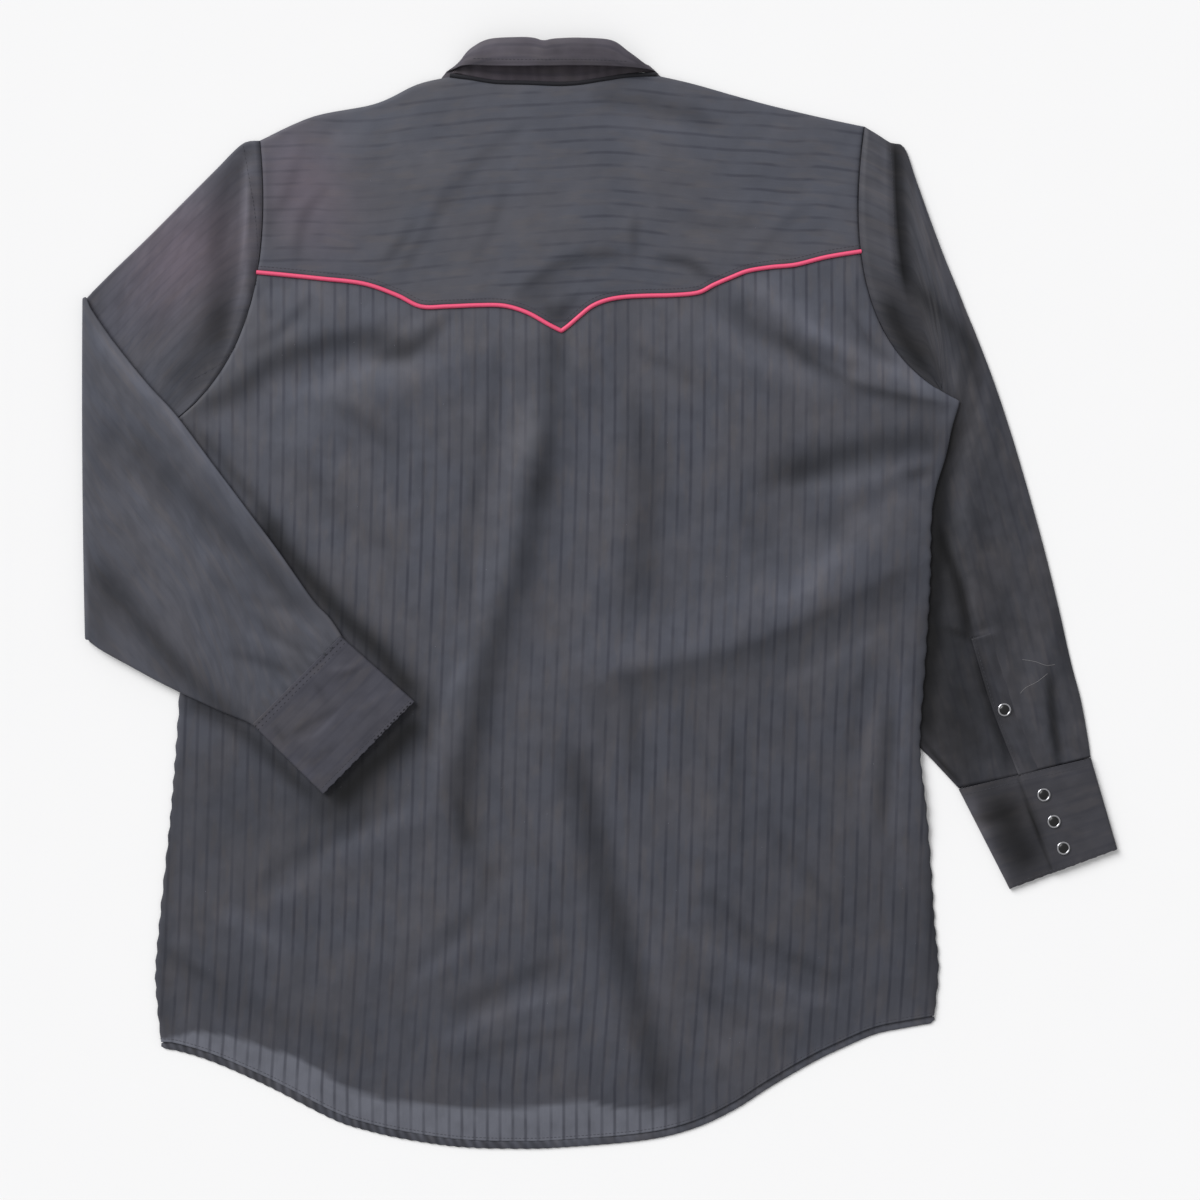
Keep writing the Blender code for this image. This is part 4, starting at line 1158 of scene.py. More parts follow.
        # Painted light: past the fronts the single layer is painted lighter, as if the floor showed through
        paint[Paint.SINGLE] = ramp(past_fronts, -0.8, 2.2) * ramp(-plan[..., 0], -82.0, -42.0)
        maps = np.dstack([plan[..., 0] + drift, plan[..., 1]])
        piece = shell("back_cloth", plan, top, self.thick, maps, paint,
                      Shirting("back_shirting", shift=7.7).make())
        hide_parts("back_panel")
        return piece

    def yoke(self) -> Piece:
        """The yoke's cloth, whose stripes run across.

        Returns:
            The piece.
        """
        plan = self.yoke_plan()
        edges = border_distances(plan)
        sides, rim = edges["sides"], np.minimum(edges["sides"], edges["top"])
        top = relaxed(self.solids.heights("back_yoke", plan), 14)
        top = top + (height_at(self.yoke_folds, plan) + 0.14 * ripple(plan, 15.0, 1.7)) * ramp(rim, 0.0, 14.0)
        top += 0.1 * ripple(plan, 6.0, 0.3) * ramp(sides, 0.0, 6.0)
        top -= self.edge_drop * drop(rim, self.edge_reach)
        top -= self.seam_drop * drop(edges["bottom"], self.edge_reach)
        arch = np.interp(plan[..., 0], *smooth_line(YOKE_ARCH, 8).T)
        # Painted shade of the folds, and a darker line along the seam above the piping
        tone = shade_at(self.yoke_folds, plan) * (1.0 - 0.35 * bell(edges["bottom"], 1.6))
        piece = shell("yoke_cloth", plan, top, self.thick, np.dstack([plan[..., 1] + arch, plan[..., 0]]),
                      self.paint(plan, tone, 0.8),
                      Shirting("yoke_shirting", shift=4.6, broken=0.95, stripe_width=2.2, blotch=0.06).make())
        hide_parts("back_yoke")
        return piece

    def hem(self) -> Piece:
        """The back's rolled hem, twisted like a rope where the stitching pulls it.

        Returns:
            The piece.
        """
        edge = smooth_line(HEM_BACK, 12)
        edge = at_parts(edge, np.linspace(0, 1, int(lengths(edge)[-1] / self.hem_step)))
        middle = beside(edge, self.hem_width / 2 - 0.3)
        along = lengths(edge)
        twist = ramp(-edge[:, 0], -60.0, 120.0) * 0.75 + 0.25
        turns = 2 * math.pi * np.arange(self.hem_corners) / self.hem_corners
        wander = 0.35 * np.sin(along / 31.0) + 0.2 * np.sin(along / 13.0)
        phase = 2 * math.pi * (along / self.hem_turn + wander)
        strands = np.sin(phase[:, None] + 1.9 * np.cos(turns)[None, :])
        wide = (self.hem_width / 2) * (1 + 0.07 * twist * np.sin(phase + 0.8))
        high = self.hem_height / 2 * (1 + 0.3 * twist[:, None] * strands)
        normal = beside(edge, 1.0) - edge
        normal /= np.linalg.norm(normal, axis=1, keepdims=True)
        ends = 0.35 + 0.65 * np.minimum(ramp(along, 0, 4), ramp(along[-1] - along, 0, 4))
        aside = np.cos(turns)[None, :] * (wide * ends)[:, None]
        rise = self.hem_height * 0.5 + 0.12 + np.sin(turns)[None, :] * high * ends[:, None]
        rings = np.concatenate([middle[:, None, :] + normal[:, None, :] * aside[..., None],
                                np.maximum(rise, 0.02)[..., None]], axis=2)
        drift = np.interp(rings[..., 1], *smooth_line(BACK_DRIFT, 8).T)
        maps = np.dstack([rings[..., 0] + drift, rings[..., 1]])
        maps = np.concatenate([maps, maps[:, :1]], axis=1)
        # Painted shade: darker where the hem is twisted, its strands painted lighter and darker along the
        # twist, varying along its length; it is also painted a little lighter, as if the floor showed through
        dark = 1.02 - 0.26 * twist[:, None] + 0.2 * strands * twist[:, None]
        dark *= 0.93 + 0.1 * wavy(along, 5.3, 3.0, 37.0)[:, None]
        plain = np.ones(rings.shape[:2])
        return roll("back_hem", rings, maps,
                    {Paint.PAINTED_SHADING: dark, Paint.SINGLE: 0.1 * plain, Paint.STRIPES: 0.5 * plain},
                    Shirting("hem_shirting", shift=7.7, depth=0.5).make())

    def front_lines(self) -> dict[str, tuple[Grid, Grid, Grid, Grid]]:
        """The top, bottom, left and right lines of each front and of the band, by their nodes' names.

        Returns:
            Four lines for each node.
        """
        shoulder_left, shoulder_right = smooth_line(SHOULDER_LEFT, 4), smooth_line(SHOULDER_RIGHT, 4)
        left_top = np.vstack([shoulder_left, smooth_line(NECK_FRONT_LEFT, 4)[1:]])
        right_top = np.vstack([smooth_line(NECK_FRONT_RIGHT, 4), shoulder_right[1:]])
        left_hem, right_hem = smooth_line(HEM_FRONT_LEFT, 4), smooth_line(HEM_FRONT_RIGHT, 4)
        band = np.array([[x, y] for y in (BAND_TOP, HEM_FRONT_LEFT[-1][1] + 1.0) for x in BAND_EDGES])
        return {
            "front_left": (left_top, left_hem, outer_edge(ARMHOLE_LEFT, SIDE_LEFT, HEM_FRONT_LEFT[0], 4),
                           np.array([left_top[-1], left_hem[-1]])),
            "front_right": (right_top, right_hem, np.array([right_top[0], right_hem[0]]),
                            outer_edge(ARMHOLE_RIGHT, SIDE_RIGHT, HEM_FRONT_RIGHT[-1], 4)),
            "front_band": (band[:2], band[2:], band[[0, 2]], band[[1, 3]])}

    def fronts(self) -> list[Piece]:
        """The two fronts and the band down the left one, under the back.

        Returns:
            The three pieces.
        """
        material = Shirting("front_shirting", shift=1.0).make()
        across, down = (graded(size, self.front_step) for size in self.front_size)
        pieces = []
        for node, lines in self.front_lines().items():
            wide = graded(self.band_width, 6.0) if node == "front_band" else across
            top, bottom = (at_parts(line, wide) for line in lines[:2])
            left, right = (at_parts(line, down) for line in lines[2:])
            plan = coons(top, bottom, left, right, wide, down)
            under = self.solids.heights(node, plan, from_above=False)
            piece = shell(node + "_cloth", plan, under + self.thick, self.thick, plan, {}, material)
            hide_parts(node)
            pieces.append(piece)
        return pieces


def finer_rows(rows: Sequence[Sequence[float]], step: float) -> Grid:
    """A sleeve's rows at even steps along its middle.

    Args:
        rows: Each row's outer edge, bend and inner edge.
        step: The greatest step.

    Returns:
        The finer rows.
    """
    line = smooth_line(rows, 8)
    along = middle_lengths(line)
    wanted = np.linspace(0, along[-1], max(int(along[-1] / step), 2))
    return np.stack([np.interp(wanted, along, column) for column in line.T], axis=1)


def row_places(rows: Grid, parts: Grid) -> Grid:
    """The places across each row, which runs from its outer edge past a bend to its inner edge.

    Args:
        rows: Each row's outer edge, bend and inner edge.
        parts: Parts of the row's length.

    Returns:
        A grid of places.
    """
    part = parts[None, :, None]
    outer, bend, inner = rows[:, None, :2], rows[:, None, 2:4], rows[:, None, 4:]
    fine = np.linspace(0, 1, 33)[None, :, None]
    curve = (1 - fine) ** 2 * outer + 2 * fine * (1 - fine) * bend + fine ** 2 * inner
    return np.stack([at_parts(line, part.ravel()) for line in curve])


def rounded(distance: Grid, radius: float) -> Grid:
    """The part of its full height that a soft edge has at a distance from its fold."""
    return np.sqrt(np.clip(1 - (1 - np.clip(distance / radius, 0, 1)) ** 2, 0, 1))


def ring_values(upper: Grid, lower: Grid) -> Grid:
    """Values or points round a flattened tube: its upper side one way, then its lower side back."""
    return np.concatenate([upper, lower[:, -2:0:-1]], axis=1)


def rings_of(plan: Grid, upper: Grid, lower: Grid) -> Grid:
    """Rings round a flattened tube, by its plan and the heights of its two sides."""
    return ring_values(np.dstack([plan, upper]), np.dstack([plan, lower]))


def middle_lengths(rows: Grid) -> Grid:
    """The distance along a sleeve's middle at each of its rows."""
    return lengths((rows[:, :2] + rows[:, 4:]) / 2)


def tube_maps(plan: Grid, along: Grid) -> Grid:
    """The cloth map round a flattened tube, whose stripes run beside its outer edge."""
    across = border_distances(plan)["left"]
    around = np.concatenate([across, across[:, -2::-1]], axis=1)
    return np.dstack([around, np.broadcast_to(along[:, None], around.shape)])


@dataclass
class Sleeve:
    """What both sleeves share: how fine they are, and what lies on them."""

    solids: Solids
    thick: float = 0.5
    step: float = 2.6
    width: float = 130.0
    edge_radius: float = 1.7
    edges: Sequence[float] = (0.3, 0.8, 1.5, 2.6, 4.4)

    def parts(self) -> Grid:
        """Parts across a row, closer beside the folds."""
        return graded(self.width, self.step, self.edges)

    def inner_plan(self, rows: Grid) -> Grid:
        """The places across each row on the cloth's inner side, drawn in by its thickness."""
        return row_places(rows, self.parts() * (1 - 2 * self.thick / self.width) + self.thick / self.width)


@dataclass
class RightSleeve(Sleeve):
    """The sleeve that passes under the side of the body."""

    folds: Sequence[Fold] = ()
    puckers: Sequence[Puckers] = ()
    placket_edge: Line = ((293, -36), (300, -60), (306, -80), (314, -103), (329.1, -140.6))
    placket_width: float = 19.0
    placket_reach: float = 3.4
    placket_rows: int = 70
    down_sleeve: Pair = (0.373, -0.928)
    stripes: float = 0.42

    def shirting(self, name: str) -> Material:
        """The finish of the sleeve or of its placket."""
        # Painted shade: the same cloth with a darker ground on this sleeve and its placket
        return Shirting(name, shift=3.0, blotch=0.22, ground=dye(63, 64, 71)).make()

    def sleeve(self) -> Piece:
        """The sleeve's cloth all round.

        Returns:
            The piece.
        """
        rows = finer_rows(RIGHT_ROWS, self.step)
        plan = row_places(rows, self.parts())
        upper, lower = (relaxed(self.solids.heights("right_sleeve", plan, from_above), 5)
                        for from_above in (True, False))
        sides = border_distances(plan)["sides"]
        full = rounded(sides, self.edge_radius)
        middle = (upper + lower) / 2
        body = beside_line(np.vstack([ARMHOLE_RIGHT[:-1], np.array(SIDE_RIGHT, float)]), plan)[0]
        free = ramp(body, 1.0, 14.0) * ramp(sides, 0.0, 8.0)
        gathers = total_at(self.puckers, plan)
        rise = height_at(self.folds, plan) + 0.22 * ripple(plan, 12.0, 3.1) + 0.12 * ripple(plan, 5.0, 1.1)
        upper = middle + (upper - middle) * full + (rise + gathers) * free
        lower = middle + (lower - middle) * full
        floor = lower + 2 * self.thick + 0.1
        upper = np.where(full > 0.95, np.maximum(upper, floor), upper)
        inset = np.clip((upper - lower) / 2 - 0.05, 0.0, self.thick)
        # Painted shade of the folds, with the puckers painted lighter and darker as well as raised
        tone = shade_at(self.folds, plan) * (1.0 + 0.3 * gathers)
        paint = {Paint.PAINTED_SHADING: ring_values(tone, np.ones(plan.shape[:2])),
                 Paint.STRIPES: np.full((len(rows), 1), self.stripes)}
        piece = tube("right_sleeve_cloth", rings_of(plan, upper, lower),
                     rings_of(self.inner_plan(rows), upper - inset, lower + inset),
                     tube_maps(plan, middle_lengths(rows)), paint, self.shirting("right_sleeve_shirting"))
        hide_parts("right_sleeve")
        return piece

    def placket(self) -> Piece:
        """The strip that finishes the slit above the cuff, sunk under the sleeve on its right.

        Returns:
            The piece.
        """
        part = np.linspace(0, 1, self.placket_rows)
        edge = at_parts(smooth_line(self.placket_edge, 8), part)
        across = graded(self.placket_width, 1.4, (0.3, 0.9, 1.8)) * self.placket_width
        plan = np.stack([beside(edge, distance) for distance in across], axis=1)
        reach = (self.placket_reach + 0.15 * across)[None, :] * ramp(part, 0.75, 1.0)[:, None]
        plan = plan + reach[..., None] * np.array(self.down_sleeve)
        top = relaxed(self.solids.heights("right_sleeve_placket", plan), 4)
        edges = border_distances(plan)
        rim = np.minimum(edges["left"], edges["top"])
        top -= 0.3 * drop(rim, 1.2)
        top -= 0.12 * bell(rim, 0.9, 3.2)
        top += 0.1 * ripple(plan, 5.0, 0.4)
        under = relaxed(self.solids.heights("right_sleeve", plan), 5) + height_at(self.folds, plan) - 0.45
        sunk = 1.0 - ramp(edges["right"], 0.0, 9.0)
        top = (1.0 - sunk) * top + sunk * under
        # Painted shade of the sleeve's folds, and a painted highlight along the placket's lit left edge
        tone = shade_at(self.folds, plan) * (1.0 + 0.2 * bell(edges["left"], 1.6))
        piece = shell("right_placket_cloth", plan, top, self.thick, np.dstack([edges["left"], edges["top"]]),
                      {Paint.PAINTED_SHADING: tone, Paint.STRIPES: np.full(plan.shape[:2], self.stripes)},
                      self.shirting("placket_shirting"))
        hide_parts("right_sleeve_placket")
        return piece


@dataclass
class LeftSleeve(Sleeve):
    """The sleeve that is folded at the elbow, so that its forearm crosses the back."""

    tube_height: float = 2.7
    forearm_base: float = 4.6
    elbow_turns: int = 14
    arm_folds: Sequence[Fold] = ()
    forearm_folds: Sequence[Fold] = ()
    arm_puckers: Sequence[Puckers] = ()
    forearm_puckers: Sequence[Puckers] = ()
    sheen_patches: Sequence[Patch] = ()

    def sleeve(self) -> Piece:
        """The sleeve's cloth all round, from the armhole over the elbow to the cuff.

        Returns:
            The piece.
        """
        half = self.tube_height / 2
        reach = self.forearm_base / 2
        height = half + reach
        arm, forearm = finer_rows(UPPER_ARM_ROWS, self.step), finer_rows(FOREARM_ROWS, self.step)
        turns = math.pi * np.arange(1, self.elbow_turns) / self.elbow_turns
        rows = np.vstack([arm, np.repeat([ELBOW_ROW], len(turns), axis=0), forearm])
        turn = np.concatenate([np.zeros(len(arm)), turns, np.full(len(forearm), math.pi)])[:, None]
        plan = row_places(rows, self.parts())
        sides = border_distances(plan)["sides"]
        full, soft = rounded(sides, self.edge_radius), ramp(sides, 0.0, 8.0)
        on_arm, on_forearm, past_elbow = turn < 0.01, turn > math.pi - 0.01, turn > 1.6
        clear = ramp(beside_line(np.array(FOREARM_OUTER, float), plan)[0], -8.0, 12.0)
        uneven = 0.2 * ripple(plan, 13.0, 0.2) + 0.1 * ripple(plan, 5.5, 2.2)
        drawn, gathered = total_at(self.arm_puckers, plan), total_at(self.forearm_puckers, plan)
        arm_rise = (height_at(self.arm_folds, plan) + drawn + uneven) * soft * clear
        forearm_rise = (height_at(self.forearm_folds, plan) + gathered + uneven) * soft
        near = half * full + np.where(on_arm, np.maximum(arm_rise, 1.2 * self.thick - half), 0.0)
        far = -half * full - np.where(on_forearm, np.maximum(forearm_rise, 1.2 * self.thick - half), 0.0)

        def turned(places: Grid, side: Grid) -> Grid:
            """Points at these places and this side of the cloth, turned about the elbow."""
            away = reach - side
            return np.dstack([places[..., 0] - away * np.sin(turn), places[..., 1],
                              height - away * np.cos(turn)])

        inset = np.clip((near - far) / 2 - 0.05, 0.0, self.thick)
        rings = []
        for places, up, down in ((plan, near, far), (self.inner_plan(rows), near - inset, far + inset)):
            rings.append(ring_values(turned(places, up), turned(places, down)))
        plain = np.ones(plan.shape[:2])
        # Painted shade of the folds, with the puckers painted lighter and darker as well as raised
        arm_painted_shading = np.where(on_arm, shade_at(self.arm_folds, plan) * (1.0 + 0.35 * drawn), plain)
        forearm_shade = shade_at(self.forearm_folds, plan) * (1.0 + 0.15 * gathered)
        forearm_painted_shading = np.where(on_forearm, forearm_shade, plain)
        # Painted sheen on the upper arm, where it faces the light
        sheen_paint = np.clip(np.where(past_elbow, 0.0, total_at(self.sheen_patches, plan)), 0, 1)
        stripes = np.where(past_elbow, 0.14, 0.26) * plain
        piece = tube("left_sleeve_cloth", rings[0], rings[1], tube_maps(plan, middle_lengths(rows)), {
            Paint.PAINTED_SHADING: ring_values(arm_painted_shading, forearm_painted_shading), Paint.PAINTED_SHEEN: ring_values(sheen_paint, sheen_paint),
            Paint.STRIPES: ring_values(stripes, stripes)},
            Shirting("left_sleeve_shirting", shift=5.4, blotch=0.16).make())
        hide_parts("left_sleeve")
        return piece


@dataclass
class Cuff:
    """A cuff of doubled cloth, flattened, with its lapped end raised where that shows."""

    name: str
    seam_from: Pair
    seam_to: Pair
    end_from: Pair
    end_to: Pair
    base: float
    lap: Optional[Line] = None
    thick: float = 1.1
    height: float = 3.3
    lap_raise: float = 1.3
    step: float = 1.5
    edge_radius: float = 1.9
    folds: Sequence[Fold] = ()
    # a darker copy of the cloth's ground: painted shade
    ground: Colour = dye(67, 67, 76)
    frayed: float = 0.2
    fold_share: float = 0.35

    def places(self, down: Grid, across: Grid) -> Grid:
        """Places on the cuff by parts of its depth and width."""
        start, end = ((1 - down[:, None]) * np.array(seam) + down[:, None] * np.array(open_end)
                      for seam, open_end in ((self.seam_from, self.end_from), (self.seam_to, self.end_to)))
        return (1 - across)[None, :, None] * start[:, None] + across[None, :, None] * end[:, None]

    def make(self) -> Piece:
        """The cuff's cloth all round.

        Returns:
            The piece.
        """
        width = math.dist(self.end_from, self.end_to)
        depth = math.dist(self.seam_from, self.end_from)
        across = graded(width, self.step, (0.25, 0.7, 1.4, 2.4, 3.6))
        down = graded(depth, self.step, (0.4, 1.2, 2.4))
        plan = self.places(down, across)
        edges = border_distances(plan)
        round_it, sides, ends = edges["left"], edges["sides"], np.minimum(edges["top"], edges["bottom"])
        full = rounded(sides, self.edge_radius)
        worn = 1.6 + np.sin(round_it / 1.4) + 0.6 * np.sin(round_it / 0.6 + 2.0)
        away = (np.array(self.end_from) - np.array(self.seam_from)) / depth
        plan = plan + (self.frayed * worn * np.exp(-edges["bottom"] / 1.5))[..., None] * away
        uneven = 0.16 * ripple(plan, 9.0, 1.3) + 0.08 * ripple(plan, 4.0, 0.6)
        uneven = uneven + 0.14 * wavy(round_it, 1.15, 1.5, 9.0) * bell(ends, 1.6, 2.0)
        rise = (uneven + height_at(self.folds, plan) * self.fold_share) * ramp(sides, 0.0, 5.0)
        rise -= 0.3 * bell(ends, 0.7, 3.4)
        middle = self.base + self.height / 2
        upper = middle + self.height / 2 * full + rise
        # Painted shade of the folds
        tone = shade_at(self.folds, plan)
        if self.lap:
            beyond = beside_line(smooth_line(self.lap, 6), plan)[0]
            upper += self.lap_raise * ramp(beyond, -0.5, 0.5) * full
            upper -= 0.25 * bell(beyond, 0.6, 2.6)
            # painted shadow beside the raised lap's edge
            tone -= 0.3 * bell(beyond, 1.3, -1.2)
        lower = np.maximum(middle - self.height / 2 * full, self.base)
        inset = np.clip((upper - lower) / 2 - 0.1, 0.0, self.thick)
        small = self.thick / width
        inner_plan = self.places(down, across * (1 - 2 * small) + small)
        piece = tube(self.name + "_cloth", rings_of(plan, upper, lower),
                     rings_of(inner_plan, upper - inset, lower + inset),
                     tube_maps(plan, edges["top"][:, 0])[..., ::-1],
                     {Paint.PAINTED_SHADING: ring_values(tone, tone), Paint.STRIPES: np.full((len(down), 1), 0.3)},
                     Shirting(self.name + "_shirting", shift=1.5, ground=self.ground).make())
        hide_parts(self.name)
        return piece


# Rows across the collar, from the left front round the neck: where the stand is sewn and its top
STAND_ROWS = [
    (-33.6, 334, 2.1, -33.6, 362, 2.1), (-56, 335, 2.1, -52, 366, 2.1),
    (-76, 341, 2.1, -72, 374, 2.1), (-97, 355.5, 2.1, -88, 386, 2.1),
    (-112, 380, 2.1, -100, 402, 2.3), (-116, 398, 2.1, -105.5, 410, 2.2),
    (-117, 409.8, 2.2, -108.8, 417.2, 2.4), (-102, 407.2, 3.7, -100, 424, 6.4),
    (-83, 403.2, 3.7, -85, 430.5, 8.8), (-58, 402, 3.7, -62, 431.5, 9.4),
    (-33, 401.2, 3.7, -36, 431, 9.4), (-12, 402.2, 3.7, -12, 431, 9.4),
    (5, 405.2, 3.7, 8, 429.5, 8.8), (22, 409, 3.7, 22.5, 423, 6.6),
    (43.5, 410.6, 2.2, 37.8, 415.4, 2.4), (43, 398, 2.1, 33, 408, 2.1),
    (41, 386, 2.1, 30, 401, 2.3), (34.5, 366, 2.1, 22, 386, 2.1),
    (14.5, 345, 2.1, 8, 374, 2.1), (-8, 337, 2.1, -12, 366, 2.1),
    (-30.4, 335, 2.1, -30.4, 362, 2.1)]
# The leaf's rows: where it is rolled, its edge, and how high it is crowned between them
LEAF_ROWS = [
    (-35, 362, 0.6, -70, 296, 0.6, 0), (-52, 367, 0.6, -84, 302, 0.6, 0),
    (-72, 376, 0.6, -100, 324, 0.6, 0), (-90, 388, 0.6, -117, 356, 0.6, 0),
    (-102, 404, 0.6, -126, 382, 0.6, 0), (-109.5, 414.5, 0.8, -127, 400, 0.6, 0),
    (-110.5, 417, 2, -121.5, 410.5, 0.6, 0.4), (-108, 420, 4.6, -113.5, 413, 6, 1.6),
    (-100.5, 427.5, 8.2, -105, 414.5, 11, 3), (-86.5, 434.4, 10, -84, 413.6, 13.6, 3.4),
    (-63, 435.6, 10.6, -60, 413.2, 14.2, 3.4), (-52, 435.2, 10.6, -50, 413.3, 14.2, 3.4),
    (-44, 433.2, 10.6, -42, 413.4, 14.2, 3.4), (-35, 434.6, 10.6, -34, 413.5, 14.2, 3.4),
    (-16, 435.2, 10.6, -14, 413.6, 14.2, 3.4), (9, 433.4, 10, 9, 413.2, 13.6, 3.4),
    (23, 424.5, 8.2, 27, 412.6, 11, 3), (34.5, 416.8, 4.6, 39.5, 412, 6, 1.6),
    (39, 415.5, 2, 46, 409.8, 0.6, 0.4), (37, 411, 0.8, 53, 400, 0.6, 0),
    (32, 403, 0.6, 53, 382, 0.6, 0), (22, 388, 0.6, 46, 356, 0.6, 0),
    (8, 376, 0.6, 34, 324, 0.6, 0), (-12, 367, 0.6, 18, 302, 0.6, 0),
    (-29, 362, 0.6, 4, 296, 0.6, 0)]


@dataclass
class Collar:
    """The stand round the neck and the leaf that turns down over it."""

    thick: float = 0.9
    least_gap: float = 0.3
    steps: int = 7
    across: int = 14
    leaf_depth: float = 24.0
    shading_marks: Sequence[Mark] = ()

    def strip(self, name: str, lines: Grid, tone: Grid, shade: Shirting) -> Piece:
        """A bent strip of cloth, thickened both ways and kept off the floor.

        Args:
            name: The piece's name.
            lines: The points of its middle layer.
            tone: How light each is.
            shade: Its finish.

        Returns:
            The piece.
        """
        along = np.gradient(lines, axis=0)
        aside = np.gradient(lines, axis=1)
        normal = np.cross(along, aside)
        normal /= np.maximum(np.linalg.norm(normal, axis=2, keepdims=True), TINY)
        upper, lower = lines + normal * self.thick / 2, lines - normal * self.thick / 2
        for side in (upper, lower):
            side[..., 2] = np.maximum(side[..., 2], 0.02)
        gap = np.linalg.norm(upper - lower, axis=2, keepdims=True)
        upper[..., 2:] += np.where(gap < self.least_gap, self.least_gap, 0.0)
        rows, columns = tone.shape
        reach = np.linalg.norm(np.diff(lines, axis=1), axis=2)
        across = np.concatenate([np.zeros((rows, 1)), np.cumsum(reach, axis=1)], axis=1)
        down = np.broadcast_to(lengths(lines[:, columns // 2])[:, None], across.shape)
        paint = {Paint.PAINTED_SHADING: tone, Paint.STRIPES: np.full_like(tone, 0.55)}
        return sheet(name, upper, lower, np.dstack([across, down]), paint, shade.make())

    def stand(self) -> Piece:
        """The stand, from the front centre round the neck.

        Returns:
            The piece.
        """
        rows = smooth_line(STAND_ROWS, self.steps)
        part = np.linspace(0, 1, self.across)[None, :, None]
        lines = (1 - part) * rows[:, None, :3] + part * rows[:, None, 3:]
        # Painted shade: faint wrinkles painted as lighter and darker bands, and darker towards the top, under
        # the leaf
        tone = 0.92 + 0.12 * wavy(lines[..., 0], 1.7, 2.0, 9.0)
        tone *= 1.0 - 0.45 * part[..., 0] ** 2
        # A copy of the cloth with a purplish ground: painted sheen
        piece = self.strip("collar_stand_cloth", lines, tone,
                           Shirting("stand_shirting", shift=3.0, ground=dye(74, 68, 76)))
        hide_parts("collar_stand")
        return piece

    def leaf(self) -> Piece:
        """The leaf, rolled over the top of the stand.

        Returns:
            The piece.
        """
        rows = smooth_line(LEAF_ROWS, self.steps)
        part = graded(self.leaf_depth, 1.5, (0.4, 1.1))[None, :, None]
        roll_line, edge, crown = rows[:, None, :3], rows[:, None, 3:6], rows[:, None, 6]
        bend = np.stack([rows[:, 0], rows[:, 1] + rows[:, 6] * 0.6,
                         (rows[:, 2] + rows[:, 5]) / 2 + 2 * rows[:, 6]], axis=1)[:, None]
        lines = (1 - part) ** 2 * roll_line + 2 * part * (1 - part) * bend + part ** 2 * edge
        seen, raised = lines[..., :2], ramp(crown, 0.2, 2.0)
        lines[..., 2] -= 0.25 * bell(part[..., 0] * self.leaf_depth, 0.8, 18.5) * raised
        lines[..., 2] += 0.5 * ripple(seen, 9.0, 2.2) * raised
        # Painted light and shade of the leaf's folds, which have no height
        tone = 0.94 + total_at(self.shading_marks, seen)
        # A lighter, purplish copy of the cloth: painted light and sheen
        piece = self.strip("collar_leaf_cloth", lines, tone,
                           Shirting("leaf_shirting", shift=0.5, broken=0.8, ground=dye(78, 74, 82)))
        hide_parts("collar_leaf")
        return piece


# ---------------------------------------------------------------- what repeats or follows a path

class Growth(Tree):
    """A geometry node tree in the making, with named inputs for its sizes."""

    def __init__(self, name: str, sizes: dict[str, float]) -> None:
        """Start a tree that takes a geometry and these sizes, in millimetres.

        Args:
            name: The tree's name.
            sizes: Its sizes by name.
        """
        super().__init__(bpy.data.node_groups.new(name, "GeometryNodeTree"))
        face = self.tree.interface
        face.new_socket("Geometry", in_out="INPUT", socket_type="NodeSocketGeometry")
        for size, value in sizes.items():
            face.new_socket(size, in_out="INPUT", socket_type="NodeSocketFloat").default_value = value * MM
        face.new_socket("Finish", in_out="INPUT", socket_type="NodeSocketMaterial")
        face.new_socket("Geometry", in_out="OUTPUT", socket_type="NodeSocketGeometry")
        self.given = self.tree.nodes.new("NodeGroupInput").outputs

    def circle(self, corners: int, radius: str) -> Socket:
        """A round curve, whose radius is one of the tree's sizes."""
        return self.add("GeometryNodeCurvePrimitiveCircle", {"mode": "RADIUS"},
                        {"Resolution": corners, "Radius": self.given[radius]}, "Curve")

    def ball(self, segments: int, rings: int, wide: Socket, high: Socket) -> Socket:
        """A ball stretched to half widths and a half height."""
        ball = self.add("GeometryNodeMeshUVSphere", {}, {"Segments": segments, "Rings": rings, "Radius": 1.0},
                        "Mesh")
        size = self.add("ShaderNodeCombineXYZ", {}, {"X": wide, "Y": wide, "Z": high})
        return self.add("GeometryNodeTransform", {}, {"Geometry": ball, "Scale": size})

    def repeat(self, points: Socket, shape: Socket, **turned: Socket) -> GrowthTree:
        """End the tree with a shape on each point, with its Rotation and Scale where given."""
        return self.finish(self.add("GeometryNodeInstanceOnPoints", {},
                                    {"Points": points, "Instance": shape, **turned}))

    def finish(self, geometry: Socket) -> GrowthTree:
        """End the tree with real meshes in the finish it is given.

        Args:
            geometry: What it has grown.

        Returns:
            The tree.
        """
        smooth = self.add("GeometryNodeSetShadeSmooth", {}, {"Geometry": geometry})
        real = self.add("GeometryNodeRealizeInstances", {}, {"Geometry": smooth})
        dressed = self.add("GeometryNodeSetMaterial", {},
                           {"Geometry": real, "Material": self.given["Finish"]})
        self.tree.links.new(dressed, self.tree.nodes.new("NodeGroupOutput").inputs[0])
        return self.tree


def stitch_growth() -> GrowthTree:
    """Stitches at even steps along curves.

    Returns:
        The tree.
    """
    growth = Growth("stitches", {"Pitch": 3.1, "Length": 2.3, "Thread": 0.2})
    points = growth.add("GeometryNodeCurveToPoints", {"mode": "LENGTH"},
                        {"Curve": growth.given["Geometry"], "Length": growth.given["Pitch"]}, "Points")
    half = growth.add("ShaderNodeMath", {"operation": "MULTIPLY"}, {0: growth.given["Length"], 1: 0.5})
    stitch = growth.ball(6, 5, growth.given["Thread"], half)
    return growth.repeat(points, stitch, Rotation=points.node.outputs["Rotation"])


